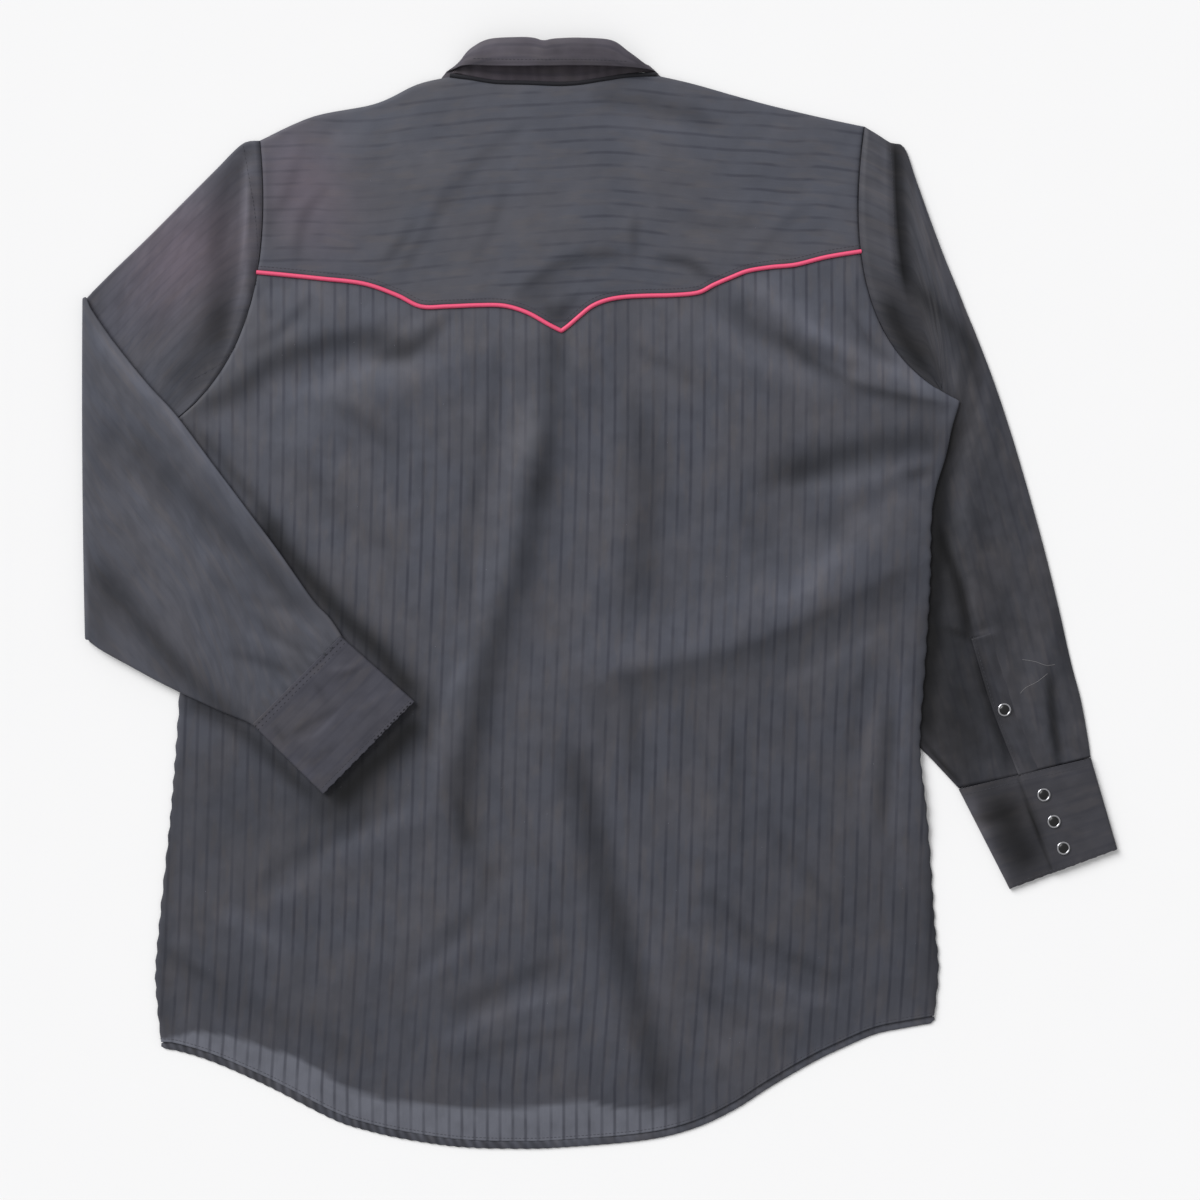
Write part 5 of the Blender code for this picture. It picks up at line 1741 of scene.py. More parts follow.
def cord_growth() -> GrowthTree:
    """A round cord along curves."""
    growth = Growth("cord", {"Radius": 1.6})
    cord = growth.add("GeometryNodeCurveToMesh", {}, {
        "Curve": growth.given["Geometry"], "Profile Curve": growth.circle(12, "Radius"), "Fill Caps": True})
    return growth.finish(cord)


def ring_growth() -> GrowthTree:
    """Rings of round wire on points."""
    growth = Growth("rings", {"Radius": 4.5, "Thickness": 0.85})
    ring = growth.add("GeometryNodeCurveToMesh", {}, {
        "Curve": growth.circle(48, "Radius"), "Profile Curve": growth.circle(12, "Thickness")})
    return growth.repeat(growth.given["Geometry"], ring)


def cap_growth() -> GrowthTree:
    """Domed caps on points."""
    growth = Growth("caps", {"Radius": 3.95, "Height": 1.4})
    dome = growth.ball(32, 16, growth.given["Radius"], growth.given["Height"])
    return growth.repeat(growth.given["Geometry"], dome)


def lint_growth(seed: int) -> GrowthTree:
    """Specks of lint on points, each turned and sized at random.

    Args:
        seed: Where the random values start.

    Returns:
        The tree.
    """
    growth = Growth("lint", {"Size": 0.32})
    speck = growth.add("GeometryNodeMeshIcoSphere", {},
                       {"Radius": growth.given["Size"], "Subdivisions": 1}, "Mesh")
    turn, size = (growth.add("FunctionNodeRandomValue", {"data_type": "FLOAT_VECTOR"},
                             {"Min": least, "Max": most, "Seed": own_seed}, "Value")
                  for least, most, own_seed in (((0.0, 0.0, 0.0), (6.28, 6.28, 6.28), seed),
                                                ((0.35, 0.25, 0.25), (1.3, 0.6, 0.5), seed + 1)))
    return growth.repeat(growth.given["Geometry"], speck, Rotation=turn, Scale=size)


def grown(name: str, seed_data: bpy.types.ID, tree: GrowthTree,
          finish: Material, sizes: Optional[dict[str, float]] = None) -> Piece:
    """Grow a piece from curves or points and keep it as a plain mesh.

    Args:
        name: The piece's name.
        seed_data: The curve or mesh that it grows from.
        tree: The geometry node tree.
        finish: Its material.
        sizes: The tree's sizes in millimetres, where they differ from its own.

    Returns:
        The piece.
    """
    seed = into_scene(name + "_seed", seed_data)
    modifier = seed.modifiers.new("growth", "NODES")
    modifier.node_group = tree
    for item in tree.interface.items_tree:
        if item.in_out == "INPUT" and item.name == "Finish":
            modifier[item.identifier] = finish
        elif item.in_out == "INPUT" and item.name in (sizes or {}):
            modifier[item.identifier] = sizes[item.name] * MM
    bpy.context.view_layer.update()
    graph = bpy.context.evaluated_depsgraph_get()
    mesh = bpy.data.meshes.new_from_object(seed.evaluated_get(graph))
    mesh.name = name
    seed.modifiers.remove(modifier)
    bpy.data.objects.remove(seed, do_unlink=True)
    log.info("%s: %d faces", name, len(mesh.polygons))
    return into_scene(name, mesh)


def curve_data(name: str, paths: Sequence[Grid]) -> bpy.types.Curve:
    """A curve through each path's places, given in the cutting frame.

    Args:
        name: The curve's name.
        paths: The places along each path.

    Returns:
        The curve.
    """
    curve = bpy.data.curves.new(name, "CURVE")
    curve.dimensions = "3D"
    for path in paths:
        spline = curve.splines.new("POLY")
        spline.points.add(len(path) - 1)
        spline.points.foreach_set("co", np.column_stack([in_model(path), np.ones(len(path))]).ravel())
    return curve


def point_data(name: str, places: Grid) -> bpy.types.Mesh:
    """Loose points, given in the cutting frame."""
    mesh = bpy.data.meshes.new(name)
    mesh.from_pydata(in_model(places).tolist(), [], [])
    return mesh


@dataclass(frozen=True)
class SeamShadow:
    """A dark cord of painted shadow along a seam's folded edge: its course, what it lies in, how deep and how
    far aside.
    """

    name: str
    line: Line
    carriers: tuple[str, ...]
    sunk: float
    aside: float
    radius: float


@dataclass(frozen=True)
class StitchRow:
    """A row of stitches on a piece, beside a line."""

    carrier: str
    line: Line
    aside: float = 0.0


@dataclass(frozen=True)
class DarkRow:
    """A straight row of dark stitches on the left cuff, with their sizes."""

    name: str
    start: Pair
    end: Pair
    pitch: float
    length: float
    thread: float


@dataclass(frozen=True)
class Snap:
    """A snap that shows: what it is called, what carries it and where it is."""

    name: str
    carrier: str
    place: Pair


@dataclass
class Trim:
    """The piping, the stitches, the snaps, and the lint that has settled on the cloth."""

    dressed: Solids
    seam_shadows: Sequence[SeamShadow]
    stitch_rows: Sequence[StitchRow]
    dark_rows: Sequence[DarkRow]
    snaps_shown: Sequence[Snap]
    hair_lines: Sequence[Line]
    piping_radius: float = 1.65
    piping_lift: float = 0.35
    stitch_step: float = 1.5
    stitch_lift: float = 0.05
    snap_probe: float = 3.5
    ring_lift: float = 0.55
    cap_lift: float = 0.5
    hair_radius: float = 0.15
    hair_lift: float = 0.1
    lint_count: int = 90
    lint_clear: float = 6.0

    def on(self, piece: str, line: Grid, raised: float) -> Grid:
        """A line laid on a piece, a little above it."""
        return np.column_stack([line, self.dressed.heights(piece, line) + raised])

    def highest(self, pieces: Sequence[str], line: Grid, reach: int) -> Grid:
        """Heights of the highest of some pieces along a line, evened out within a reach."""
        height = np.max([self.dressed.heights(piece, line) for piece in pieces], axis=0)
        count = 2 * reach + 1
        return np.convolve(np.pad(height, reach, "edge"), np.ones(count) / count, "valid")

    def cord(self, name: str, paths: Sequence[Grid], radius: float, finish: Material) -> Piece:
        """A round cord along some paths."""
        return grown(name, curve_data(name + "_path", paths), cord_growth(), finish, {"Radius": radius})

    def piping(self) -> Piece:
        """The cord of bright satin in the yoke seam.

        Returns:
            The piece.
        """
        left, right = seam_sides(0.0)
        seam = at_parts(np.vstack([left, right[1:]]), np.linspace(0, 1, 420))
        path = np.column_stack([seam, self.highest(("back_cloth", "yoke_cloth"), seam, 6) + self.piping_lift])
        piece = self.cord("yoke_piping_cord", [path], self.piping_radius, Plain(
            "piping_satin", dye(232, 82, 120), 0.5, grain=0.9, uneven=0.3, relief=0.35).make())
        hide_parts("yoke_piping")
        return piece

    def seams(self) -> list[Piece]:
        """Dark cords of painted shadow along the folded edges of cloth inside the armholes and the neck.

        Returns:
            The pieces.
        """
        dark = Plain("seam_shadow", dye(30, 30, 36), 0.8, grain=0.7).make()
        pieces = []
        for seam in self.seam_shadows:
            path = at_parts(beside(np.asarray(seam.line, float), seam.aside), np.linspace(0, 1, 120))
            height = np.maximum(self.highest(seam.carriers, path, 4) - seam.sunk, 1.0)
            pieces.append(self.cord(seam.name, [np.column_stack([path, height])], seam.radius, dark))
        return pieces

    def stitches(self) -> list[Piece]:
        """The rows of stitches, one piece for each sewn part.

        Returns:
            The pieces.
        """
        thread = Plain("thread", dye(58, 58, 66), 0.6, grain=0.5).make()
        tree = stitch_growth()
        pieces = []
        for number, row in enumerate(self.stitch_rows, 1):
            fine = smooth_line(row.line, 6)
            count = max(int(lengths(fine)[-1] / self.stitch_step), 8)
            fine = at_parts(fine, np.linspace(0, 1, count))
            path = self.on(row.carrier, beside(fine, row.aside), self.stitch_lift)
            name = f"{row.carrier}_stitches_{number}"
            pieces.append(grown(name, curve_data(name + "_path", [path]), tree, thread))
        return pieces

    def snaps(self) -> list[Piece]:
        """The rings and the domed caps of the snaps that show.

        Returns:
            The rings and the caps.
        """
        around = self.snap_probe * np.array([[0, 0], [1, 0], [-1, 0], [0, 1], [0, -1]])
        places = np.array([[*snap.place, self.dressed.heights(snap.carrier, snap.place + around).mean()]
                           for snap in self.snaps_shown])
        rings = grown("snap_rings", point_data("ring_points", places + [0, 0, self.ring_lift]), ring_growth(),
                      Plain("snap_silver", dye(186, 186, 190), 0.18, metal=1.0, grain=0.8, uneven=0.1,
                            relief=0.05).make())
        caps = grown("snap_caps", point_data("cap_points", places + [0, 0, self.cap_lift]), cap_growth(),
                     Plain("snap_black", dye(7, 7, 9), 0.28, coat=0.1, grain=1.5, uneven=0.1,
                           relief=0.02).make())
        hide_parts(*[snap.name + "_ring" for snap in self.snaps_shown])
        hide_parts(*[snap.name + "_cap" for snap in self.snaps_shown])
        return [rings, caps]

    def hairs(self) -> Piece:
        """Two pale hairs that lie on the right sleeve."""
        paths = [self.on("right_sleeve_cloth", smooth_line(line, 6), self.hair_lift)
                 for line in self.hair_lines]
        return self.cord("hairs", paths, self.hair_radius,
                         Plain("hair", dye(122, 120, 122), 0.7, grain=0.4).make())

    def dark_marks(self) -> list[Piece]:
        """Dark marks along the ragged end of the left cuff, and the sunk stitches beside its seam.

        Returns:
            The pieces.
        """
        dark = Plain("cuff_dark_marks", dye(22, 22, 28), 0.8, grain=0.5).make()
        pieces = []
        for row in self.dark_rows:
            line = at_parts(np.array([row.start, row.end]), np.linspace(0, 1, 60))
            path = curve_data(row.name + "_path", [self.on("left_cuff_cloth", line, -self.stitch_lift)])
            pieces.append(grown(row.name, path, stitch_growth(), dark,
                                {"Pitch": row.pitch, "Length": row.length, "Thread": row.thread}))
        return pieces

    def lint(self) -> Piece:
        """Tiny pale specks here and there.

        Returns:
            The piece.
        """
        chance = np.random.default_rng(11)
        places = chance.uniform((-330, -380), (250, 340), (self.lint_count, 2))
        on_yoke = places[:, 1] > 250
        height = np.where(on_yoke, self.dressed.heights("yoke_cloth", places),
                          self.dressed.heights("back_cloth", places))
        covered = beside_line(np.array(FOREARM_EDGE, float), places)[0]
        points = np.column_stack([places, height + self.stitch_lift])[covered > self.lint_clear]
        return grown("lint", point_data("lint_points", points), lint_growth(5),
                     Plain("lint_fibre", dye(150, 150, 160), 0.8, grain=0.4).make())


# ---------------------------------------------------------------- the studio

@dataclass
class Studio:
    """A pale floor, soft light from the upper left, and a camera straight above."""

    camera_place: tuple[float, float, float] = (0.000095, -0.00418, 1.8407)
    key_place: tuple[float, float, float] = (-1.45, 1.45, 1.5)
    lens: float = 69.9
    sensor: float = 36.0
    floor_size: float = 6.0
    floor_depth: float = 0.0003
    key: float = 2.78
    key_spread: float = 38.0
    world: float = 0.485

    def floor(self) -> None:
        """The floor, which isn't part of the shirt."""
        half = self.floor_size / 2
        mesh = bpy.data.meshes.new("floor")
        corners = ((-half, -half), (half, -half), (half, half), (-half, half))
        mesh.from_pydata([(x, y, -self.floor_depth) for x, y in corners], [], [(0, 1, 2, 3)])
        mesh.materials.append(Plain("floor_white", (0.93, 0.93, 0.935, 1.0), 0.9, grain=60.0, uneven=0.01,
                                    relief=0.0).make())
        floor = into_scene("floor", mesh)

    def lamp(self, name: str, place: tuple[float, float, float], spread: float, power: float) -> None:
        """A broad even light from far away, the way of place."""
        data = bpy.data.lights.new(name, "SUN")
        data.angle, data.energy = math.radians(spread), power
        lamp = into_scene(name, data)
        lamp.location = place
        lamp.rotation_euler = (-Vector(place)).to_track_quat("-Z", "Y").to_euler()

    def make(self) -> None:
        """Set up the floor, the lights and the camera."""
        self.floor()
        self.lamp("key_light", self.key_place, self.key_spread, self.key)
        world = bpy.data.worlds.new("studio")
        bpy.context.scene.world = world
        world.use_nodes = True
        sky = world.node_tree.nodes["Background"]
        sky.inputs["Color"].default_value = (1.0, 1.0, 1.0, 1.0)
        sky.inputs["Strength"].default_value = self.world
        bpy.context.scene.view_settings.view_transform = "Standard"
        data = bpy.data.cameras.new("camera")
        data.lens, data.sensor_width, data.sensor_height = self.lens, self.sensor, self.sensor
        camera = into_scene("camera", data)
        camera.location = self.camera_place
        bpy.context.scene.camera = camera


# ---------------------------------------------------------------- how this shirt lies

# Folds of the back: each is raised and also painted as shade or light along its course
BACK_FOLDS = [
    # down the middle, from the yoke's point
    Fold([(-35, 205), (-37, 150), (-42, 115), (-50, 75)], 12, -0.4),
    Fold([(-45, 95), (-57, 35), (-72, -10), (-85, -50), (-95, -95), (-104, -130), (-107, -170), (-105, -205)],
         14, -0.44),
    Fold([(-56, 160), (-72, 85), (-92, 5), (-110, -60), (-120, -120)], 12, 0.04),
    Fold([(-80, 188), (-85, 145), (-98, 80), (-106, 40), (-108, -12)], 8, -0.17),
    Fold([(28, 150), (35, 95), (35, 45), (30, -5)], 16, -0.32),
    Fold([(24, 195), (50, 182), (78, 165)], 7, -0.18),
    # under the yoke's right end
    Fold([(100, 232), (120, 212), (150, 198), (190, 184)], 12, -0.36),
    Fold([(118, 244), (132, 239), (157, 217), (195, 190)], 12, 0.3),
    Fold([(107, 198), (150, 175), (190, 165), (230, 174), (288, 148)], 13, 0.16),
    Fold([(142, 204), (160, 188), (190, 170), (215, 160), (250, 152), (276, 147)], 6, -0.34, 0.6),
    Fold([(159, 211), (195, 192), (228, 177), (270, 160)], 7, 0.24),
    Fold([(188, 160), (222, 157), (262, 144)], 9, -0.26),
    Fold([(226, 203), (240, 184), (262, 168), (283, 153)], 2.5, 0.3),
    Fold([(197, 224), (211, 200), (230, 183)], 4, -0.24),
    Fold([(112, 74), (130, 34)], 13, -0.2),
    # under the yoke's left end
    Fold([(-175, 187), (-152, 190), (-126, 212)], 7, -0.36),
    Fold([(-168, 197), (-158, 205), (-142, 215)], 5, 0.14),
    Fold([(-318, 146), (-282, 161), (-260, 182), (-225, 194), (-189, 200), (-146, 195)], 13, -0.52),
    Fold([(-262, 236), (-205, 236), (-165, 222)], 12, 0.16),
    Fold([(-270, 196), (-252, 208), (-232, 227)], 6, -0.24),
    Fold([(-312, 138), (-276, 150), (-225, 164), (-175, 174), (-126, 173)], 14, 0.24),
    Fold([(-212, 148), (-189, 137), (-163, 115)], 8, -0.24),
    Fold([(-230, 98), (-210, 72), (-163, 32)], 11, -0.17),
    Fold([(-285, 127), (-237, 120), (-197, 97)], 12, 0.1),
    # from the right armpit
    Fold([(146, 94), (184, 105), (220, 115), (266, 123)], 17, -0.55),
    Fold([(150, 82), (199, 88), (227, 98), (256, 107)], 9, 0.22),
    Fold([(240, 92), (258, 96)], 6, -0.35),
    Fold([(140, -13), (170, 6), (192, 35), (220, 63), (247, 81)], 14, 0.18),
    Fold([(-5, -48), (41, -42), (94, -24), (150, 4), (195, 34)], 20, 0.22),
    Fold([(240, 16), (200, -6), (160, -27), (118, -44), (63, -59), (10, -69)], 27, -0.36, 0.3),
    Fold([(174, 58), (187, 48)], 13, -0.22),
    Fold([(234, -23), (185, -53), (148, -70)], 7, 0.12),
    # down the right side
    Fold([(220, -46), (202, -80), (198, -132)], 8, -0.15),
    Fold([(218, -78), (213, -112), (207, -164)], 6, 0.14),
    Fold([(239, -54), (237, -112), (234, -168), (239, -228)], 6, 0.16),
    Fold([(230, -96), (226, -130), (220, -185)], 7, -0.3),
    Fold([(26, -84), (27, -146)], 9, -0.24),
    Fold([(104, -112), (106, -150), (112, -190)], 9, -0.15),
    Fold([(125, -172), (150, -205), (182, -245)], 7, -0.17),
    Fold([(84, -236), (118, -270), (159, -291), (187, -304)], 6, -0.22),
    Fold([(63, -263), (104, -291), (145, -311), (187, -325)], 6, 0.2),
    Fold([(77, -311), (118, -339), (159, -346)], 6, -0.18),
    # from the middle down to the hem
    Fold([(-24, -128), (-17, -145), (-6, -188), (14, -258), (34, -338), (49, -398)], 15, -0.44),
    Fold([(4, -132), (10, -188), (32, -258), (51, -322)], 10, 0.13),
    # lower left and the lower middle
    Fold([(-262, -242), (-236, -227), (-206, -204), (-170, -186), (-136, -160)], 12, 0.2),
    Fold([(-302, -249), (-272, -267), (-244, -282)], 9, 0.24),
    Fold([(-267, -231), (-250, -213), (-213, -194), (-180, -176)], 9, -0.2),
    Fold([(-105, -51), (-116, -73), (-126, -104), (-128, -148)], 5, 0.18),
    Fold([(-112, -86), (-114, -132)], 3, 0.14),
    Fold([(-114, -156), (-106, -199)], 6, -0.2),
    Fold([(-86, -211), (-97, -246), (-125, -274)], 9, -0.22),
    Fold([(-150, -308), (-122, -288), (-87, -265)], 8, 0.18),
    Fold([(-111, -326), (-75, -308), (-31, -290)], 9, -0.27),
    Fold([(-118, -350), (-75, -329), (-27, -315)], 8, 0.27),
    Fold([(-112, -369), (-63, -353), (-23, -345)], 7, -0.18),
    Fold([(-35, -216), (-38, -274)], 9, -0.1),
    Fold([(-338, -284), (-322, -295), (-304, -306)], 6, -0.24),
    Fold([(-336, -271), (-316, -277)], 6, 0.12),
    Fold([(-319, -310), (-248, -336), (-189, -366)], 12, -0.15),
    Fold([(89, -367), (127, -340), (158, -328)], 10, 0.16),
    Fold([(261, -227), (265, -290)], 6, -0.2),
]
# Painted shade and light on the back, with no height
BODY_SHADE = [
    # painted shadows cast by the left forearm and its cuff, and painted light and shade in patches
    Fold([(-320, 130), (-292, 98), (-252, 48)], 6, -0.4),
    Fold([(-268, 58), (-239, 22), (-202, -19), (-177, -43), (-144, -83)], 11, -0.85),
    Fold([(-212, -168), (-175, -132), (-140, -98)], 17, -0.97),
    Patch(-188, -170, 36, 14, 20, -0.3),
    Patch(-23, 73, 45, 45, 0, 0.07),
    Patch(182, 42, 45, 35, 0, -0.07),
    Fold([(-326, -84), (-280, -110), (-224, -163)], 8, -0.6),
    Patch(-270, -170, 75, 42, -15, -0.24),
    Patch(-310, -250, 90, 30, 90, -0.08),
    # painted shade along the sides, and painted light and shade in broad patches
    Fold([(-335, -130), (-341, -200), (-346, -350)], 8, -0.22),
    Fold([(262, 0), (256, -60), (262, -200), (266, -330)], 8, -0.28),
    Patch(180, -220, 120, 80, 90, -0.14),
    Patch(152, 102, 34, 20, 10, -0.25),
    Patch(-250, -300, 110, 60, 0, -0.07),
    Patch(-201, 198, 75, 28, 0, 0.17),
    Patch(118, 214, 70, 20, 0, 0.13),
    Patch(0, -340, 70, 40, 0, 0.14),
    Patch(150, -60, 60, 40, 0, -0.08),
    Patch(249, 26, 60, 22, 90, -0.1),
    Patch(256, -275, 80, 22, 90, -0.12),
    Patch(-157, -240, 80, 40, 20, 0.06),
    Patch(-175, 80, 60, 40, -40, 0.04),
    Patch(-60, 250, 60, 40, 0, 0.05),
    Patch(-200, 60, 90, 40, -40, 0.06),
]
# Folds of the yoke: raised and also painted as shade or light
YOKE_FOLDS = [
    Fold([(-62, 238), (-37, 256), (-15, 264), (13, 267)], 6, -0.3),
    Fold([(-66, 222), (-46, 240), (-26, 250)], 9, -0.2),
    Fold([(47, 265), (71, 260), (86, 250)], 5, -0.42),
    Fold([(-43, 229), (-34, 219), (-24, 228)], 9, -0.5),
    Fold([(-170, 260), (-162, 270), (-148, 288)], 6, -0.18),
    Fold([(28, 294), (27, 266)], 5, -0.18),
    Fold([(-259, 293), (-245, 319), (-237, 342)], 6, -0.14),
    Fold([(-239, 262), (-233, 298), (-219, 315)], 6, -0.18),
    Fold([(-156, 255), (-134, 290), (-120, 318)], 6, -0.14),
    Fold([(-213, 350), (-190, 374), (-168, 376)], 14, 0.12),
    Fold([(-259, 342), (-237, 362)], 10, 0.1),
    Fold([(-118, 310), (-95, 342), (-63, 366)], 7, -0.13),
    Fold([(0, 392), (40, 386), (87, 373)], 8, -0.26),
    Fold([(-8, 374), (48, 367), (95, 358)], 8, 0.1),
    Fold([(80, 326), (127, 310), (182, 318)], 14, 0.07),
    Fold([(-262, 279), (-263, 310), (-262, 342)], 6, -0.16),
    Fold([(60, 300), (90, 290), (126, 296)], 7, -0.12),
    Fold([(118, 262), (140, 285), (158, 302)], 6, -0.1),
    Fold([(-100, 262), (-84, 290), (-76, 320)], 6, -0.08),
]
# Folds of the upper arm, raised and painted as shade or light; its patches are painted shade only
ARM_FOLDS = [
    Fold([(-282, 344), (-293, 319), (-300, 283), (-299, 243), (-302, 197)], 14, -0.42),
    Fold([(-292, 231), (-308, 196), (-335, 160)], 20, -0.45),
    Fold([(-400, 234), (-376, 257), (-343, 291), (-311, 322)], 12, 0.12),
    Fold([(-372, 224), (-355, 239), (-335, 261)], 13, 0.06),
    Fold([(-278, 342), (-279, 298), (-281, 251), (-292, 196)], 4, 0.36),
    Fold([(-273, 326), (-274, 287), (-276, 239)], 3, -0.45),
    Fold([(-355, 208), (-339, 231)], 8, -0.12),
    Patch(-400, 236, 30, 14, 45, -0.3),
    Patch(-335, 245, 60, 40, 45, -0.06),
]
# Folds of the forearm, raised and painted as shade or light; its patches are painted light and shade only
FOREARM_FOLDS = [
    Fold([(-396, 205), (-361, 165), (-330, 131), (-282, 77)], 7, 0.5),
    Fold([(-284, 78), (-244, 26), (-223, -2)], 6, 0.3),
    Fold([(-325, 76), (-273, 28), (-229, -16)], 9, -0.36),
    Fold([(-368, 122), (-345, 94), (-330, 84)], 15, -0.36),
    Fold([(-388, 129), (-386, 105)], 12, -0.26),
    Fold([(-367, 82), (-355, 58), (-339, 36)], 9, 0.18),
    Fold([(-327, 42), (-304, 26)], 8, 0.15),
    Fold([(-400, 20), (-386, 6), (-352, -34), (-321, -69), (-277, -104)], 9, -0.5),
    Fold([(-290, -47), (-268, -53), (-243, -62)], 5, -0.26),
    Fold([(-280, -31), (-248, -45)], 5, 0.16),
    Fold([(-250, -16), (-231, -26), (-220, -37)], 5, 0.22),
    Fold([(-276, -14), (-252, -34), (-229, -47)], 4, -0.2),
    Fold([(-312, -6), (-292, -23)], 6, -0.13),
    Fold([(-300, 10), (-270, -6), (-246, -8)], 6, -0.16),
    Patch(-394, -8, 40, 22, 60, -0.28),
    Patch(-330, 0, 70, 30, -35, 0.07),
]
# Folds of the right sleeve, raised and painted as shade or light; its patches are painted light and shade
# only
RIGHT_FOLDS = [
    Fold([(231, 358), (233, 320), (235, 290), (237, 262), (241, 240)], 10, -0.85, 0.25),
    Patch(221, 305, 56, 10, 92, 0.16),
    Fold([(246, 324), (266, 269), (283, 216)], 8, 0.16),
    Fold([(226, 352), (228, 303), (230, 259)], 3, 0.16),
    Fold([(228, 234), (235, 210), (259, 172)], 9, -0.7),
    Fold([(248, 244), (269, 220), (290, 196), (293, 168)], 8, -0.55),
    Fold([(260, 208), (274, 182), (282, 160)], 6, 0.2),
    Fold([(282, 140), (272, 107), (267, 73), (266, 48), (262, -31), (257, -76), (256, -114)], 10, -0.8),
    Fold([(267, 48), (282, 10), (292, -34)], 6, -0.7),
    Fold([(297, -49), (308, -92), (323, -134)], 5, -0.55),
    Fold([(290, 107), (285, 69), (290, 28), (296, -2)], 8, 0.22),
    Fold([(307, 121), (308, 58)], 12, -0.14),
    Fold([(321, -6), (323, -34)], 12, -0.22),
    Fold([(355, -62), (357, -96), (362, -130)], 5, -0.68),
    Fold([(361, -15), (371, -69)], 6, -0.3),
    Fold([(340, -53), (345, -108)], 9, 0.08),
    Fold([(299, -132), (310, -138)], 8, 0.12),
    Fold([(256, -118), (270, -134), (284, -149)], 1.8, -0.7),
    Patch(272, -20, 110, 34, 95, -0.62),
    Patch(284, -112, 50, 30, 110, -0.45),
    Patch(300, 90, 280, 110, 110, -0.17),
    Fold([(262, 310), (290, 240), (318, 165), (340, 90), (355, 30)], 13, 0.15),
    Patch(252, 200, 46, 20, 115, -0.4),
    Patch(268, -6, 24, 11, 100, 0.45),
    Fold([(292, 14), (296, -34)], 4, 0.3),
    Fold([(277, 42), (289, 6), (298, -32)], 3, 0.24),
    Fold([(275, -28), (294, -36)], 3, -0.4),
    Fold([(294, -33), (312, -30)], 3, 0.35),
]
# Painted light and shade on the collar's leaf, with no height
COLLAR_FOLDS = [
    Fold([(-64, 424), (-44, 422), (-22, 425)], 3, -0.2),
    Fold([(-100, 424), (-80, 432)], 6, 0.12),
    Patch(-66, 423, 30, 12, 0, 0.34),
    Patch(-62, 408, 22, 5, 0, 0.5),
    Fold([(-38, 430), (-30, 420)], 4, -0.14),
    Fold([(-4, 432), (10, 427), (24, 420)], 4, 0.12),
    Fold([(-104, 416), (-60, 415.5), (-12, 415.5), (30, 414)], 1.6, -0.3),
]
# Folds of the right cuff: partly raised, and painted as shade or light
RIGHT_CUFF_FOLDS = [
    Fold([(312, -158), (325, -187), (341, -219)], 19, -0.8),
    Fold([(338, -164), (348, -195)], 4, -0.4),
    Fold([(289, -162), (302, -192), (320, -228)], 7, 0.75),
    Fold([(296, -178), (312, -176), (328, -170)], 4, -0.3),
    Fold([(300, -190), (322, -184)], 5, 0.3),
]
# Folds of the left cuff: partly raised, and painted as shade or light
LEFT_CUFF_FOLDS = [
    Fold([(-235, -116), (-219, -108), (-203, -90)], 3, 0.24),
    Fold([(-245, -112), (-227, -102), (-209, -92)], 4, -0.24),
    Fold([(-211, -61), (-195, -57)], 3, 0.2),
    Fold([(-205, -67), (-189, -59)], 3, -0.24),
    Fold([(-225, -132), (-209, -120)], 4, -0.18),
    Fold([(-198, -100), (-180, -84), (-168, -78)], 4, 0.12),
    Fold([(-256, -104), (-247, -118)], 3, -0.2),
    Fold([(-224, -70), (-216, -84)], 3, -0.18),
    Fold([(-240, -132), (-226, -146)], 4, 0.12),
    Fold([(-186, -116), (-170, -100)], 4, -0.12),
]
STRIPE_GAPS = [
    Patch(-180, 150, 90, 30, 20, -0.75),
    Patch(150, 180, 80, 22, -25, -0.6),
    Patch(80, 20, 110, 40, 20, -0.45),
    Patch(-45, 60, 130, 16, 82, -0.7),
    Patch(-95, -60, 90, 16, 78, -0.5),
    Patch(40, -72, 90, 20, 8, -0.5),
    Patch(20, -290, 110, 18, -72, -0.5),
    Patch(-270, -180, 60, 40, 0, -0.5),
    Patch(230, 60, 40, 60, 0, -0.6),
    Patch(-120, -320, 90, 30, 20, -0.45),
    Patch(-200, 320, 60, 40, 0, -0.4),
]
# Patches of painted purplish sheen, where the cloth faces the light
BODY_SHEEN = [Patch(-235, 320, 34, 50, 20, 0.35)]
ARM_SHEEN = [Patch(-325, 268, 60, 42, 45, 0.42)]
CAP_BAND_LEFT = [(-281, 352), (-272, 300), (-270, 260), (-276, 215), (-296, 184), (-322, 168)]
CAP_BAND_RIGHT = [(229, 355), (231, 321), (232, 287), (233, 247)]
STITCH_ROWS = [
    StitchRow("yoke_cloth", YOKE_SEAM_LEFT[:-1], 5.0),
    StitchRow("yoke_cloth", YOKE_SEAM_RIGHT[1:], 5.0),
    StitchRow("left_sleeve_cloth", CAP_BAND_LEFT),
    StitchRow("right_sleeve_cloth", CAP_BAND_RIGHT),
    StitchRow("back_cloth", HEM_BACK, 8.2),
    StitchRow("right_placket_cloth", RightSleeve.placket_edge, 2.2),
    StitchRow("right_cuff_cloth", [(386, -134), (286, -157.5)], 1.8),
    StitchRow("right_cuff_cloth", [(386, -134), (286, -157.5)], -3.2),
    StitchRow("right_cuff_cloth", [(405, -199), (326, -228)], 1.6),
    StitchRow("left_cuff_cloth", [(-149, -87), (-216, -154)], -2.2),
    StitchRow("collar_leaf_cloth", [(-98, 419), (-60, 418), (-12, 418), (20, 417)]),
]
DARK_ROWS = [
    DarkRow("left_cuff_end_marks", (-148.8, -86.7), (-176.8, -115.2), 3.4, 1.9, 0.55),
    DarkRow("left_cuff_seam_1", (-203.5, -37.5), (-270.5, -104.5), 3.7, 2.1, 0.26),
    DarkRow("left_cuff_seam_2", (-201.0, -40.0), (-268.0, -107.0), 4.1, 2.0, 0.22),
]
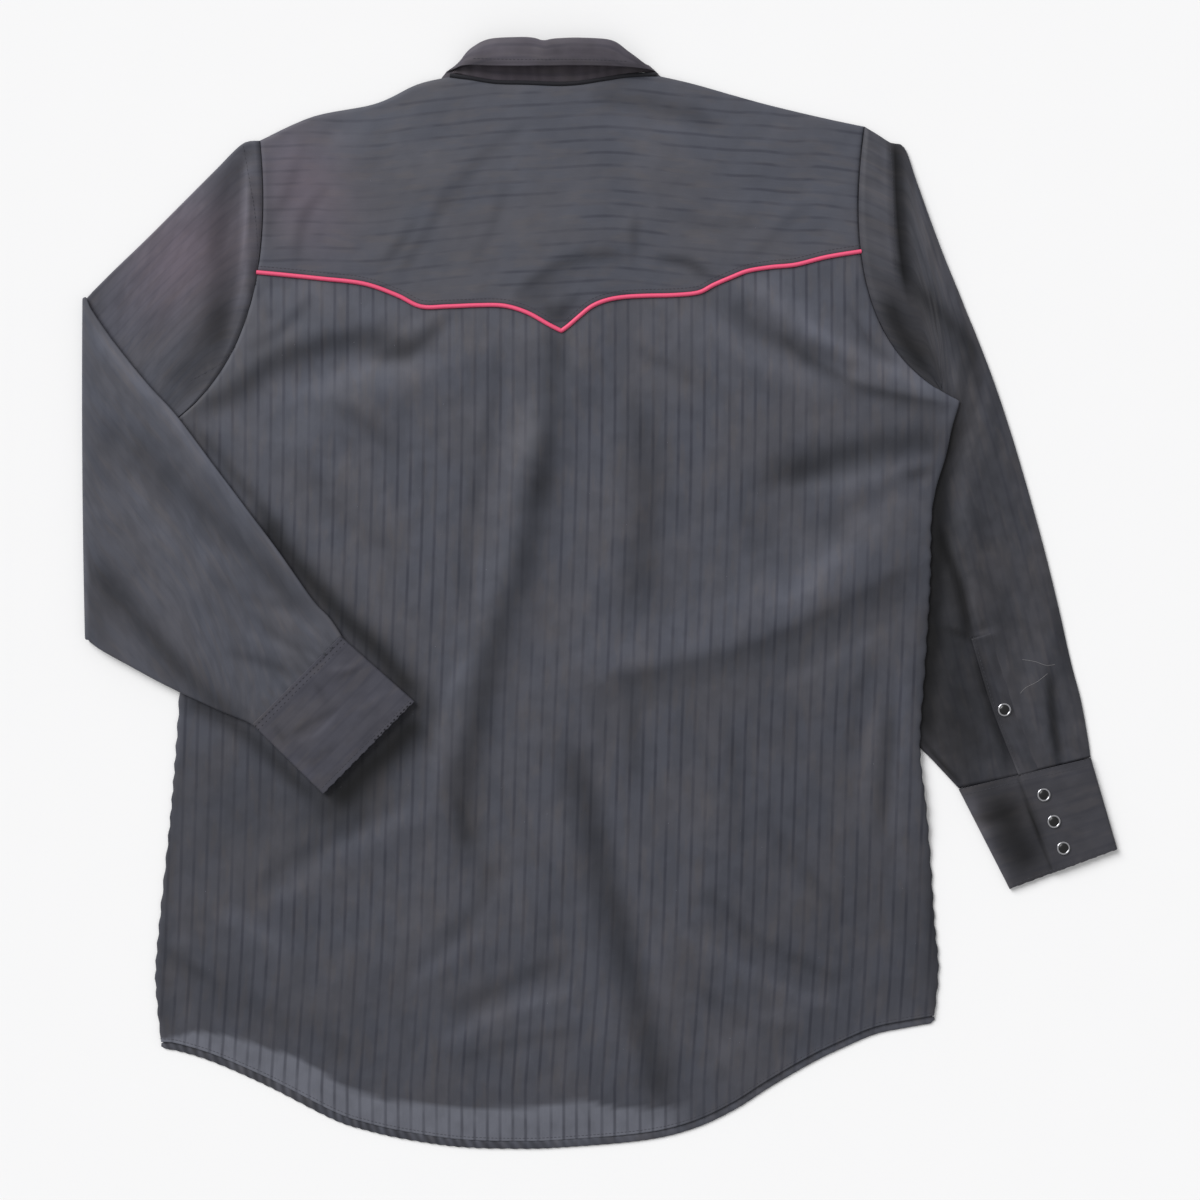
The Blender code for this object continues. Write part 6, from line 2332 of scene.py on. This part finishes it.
# Dark cords of painted shadow in the seams
SEAM_SHADOWS = [
    SeamShadow("left_armhole_seam_shadow", ARMHOLE_LEFT, ("yoke_cloth", "back_cloth"), 0.9, 0.0, 0.8),
    SeamShadow("right_armhole_seam_shadow", ARMHOLE_RIGHT[:19], ("yoke_cloth", "back_cloth"), 0.9, 0.0, 0.85),
    SeamShadow("neck_seam_shadow", smooth_line(NECK_BACK, 4), ("yoke_cloth",), 0.3, 1.1, 1.6),
]
SNAPS = [
    Snap("right_placket_snap", "right_placket_cloth", (319.0, -92.0)),
    Snap("right_cuff_snap_1", "right_cuff_cloth", (350.0, -159.0)),
    Snap("right_cuff_snap_2", "right_cuff_cloth", (358.0, -180.0)),
    Snap("right_cuff_snap_3", "right_cuff_cloth", (365.5, -201.0)),
]
HAIRS = [[(333.5, -52.5), (343.0, -54.0), (352.0, -57.0), (359.0, -56.5)],
         [(353.0, -63.5), (345.0, -70.0), (336.5, -74.5), (332.0, -79.0)]]
CUFFS = [
    # The right cuff's ground is painted darker still, as shade
    Cuff("right_cuff", (387.8, -130.0), (283.4, -154.7), (408.6, -201.4), (323.4, -233.0), 0.0,
         lap=((331.5, -146.0), (342.0, -176.0), (357.0, -216.0)), ground=dye(63, 63, 69),
         folds=RIGHT_CUFF_FOLDS),
    Cuff("left_cuff", (-203.7, -33.9), (-273.3, -103.6), (-146.0, -85.0), (-218.0, -158.0), 4.6,
         folds=LEFT_CUFF_FOLDS, frayed=0.34),
]


@dataclass(frozen=True)
class Cut:
    """The size that a piece of cloth was cut to, in metres, and what it lies on."""

    width: float
    length: float
    area: Optional[float]
    held: str
    rests_on: tuple[str, ...] = ()


def main() -> None:
    """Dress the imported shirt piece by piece."""
    logging.basicConfig(level=logging.INFO, format="%(message)s")
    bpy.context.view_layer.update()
    solids = Solids(frame["nodes"])
    body = Body(solids, back_folds=BACK_FOLDS, body_shade=BODY_SHADE, yoke_folds=YOKE_FOLDS,
                stripe_gaps=STRIPE_GAPS, sheen_patches=BODY_SHEEN)
    right = RightSleeve(solids, folds=RIGHT_FOLDS, puckers=[Puckers(CAP_BAND_RIGHT, 5.0, 5.0, 0.45, 4.0)])
    left = LeftSleeve(solids, arm_folds=ARM_FOLDS, forearm_folds=FOREARM_FOLDS, sheen_patches=ARM_SHEEN,
                      arm_puckers=[Puckers(CAP_BAND_LEFT, 6.5, 5.0, 0.4)],
                      forearm_puckers=[Puckers([(-205, -36), (-273, -104)], 8.5, 13.0, 0.6)])
    collar = Collar(shading_marks=COLLAR_FOLDS)
    cloth = [body.back(), body.yoke(), body.hem(), *body.fronts(), right.sleeve(), right.placket(),
             left.sleeve(), *(cuff.make() for cuff in CUFFS), collar.stand(), collar.leaf()]
    by_name = {piece.name: piece for piece in cloth}
    trim = Trim(Solids(by_name), SEAM_SHADOWS, STITCH_ROWS, DARK_ROWS, SNAPS, HAIRS)
    piping, stitches, (rings, caps), lint = trim.piping(), trim.stitches(), trim.snaps(), trim.lint()
    stitches += [*trim.seams(), trim.hairs(), *trim.dark_marks()]
    plain = Plain("plain_snap_metal", dye(170, 170, 176), 0.35, metal=1.0).make()
    for name, node in frame["nodes"].items():
        if name.startswith(("front_snap", "left_cuff_snap")):
            node.data.materials.clear()
            node.data.materials.append(plain)
    for piece in [*cloth, *stitches, piping, rings, caps, lint]:
        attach(piece, "root")
    Studio().make()


if __name__ == "__main__":
    main()
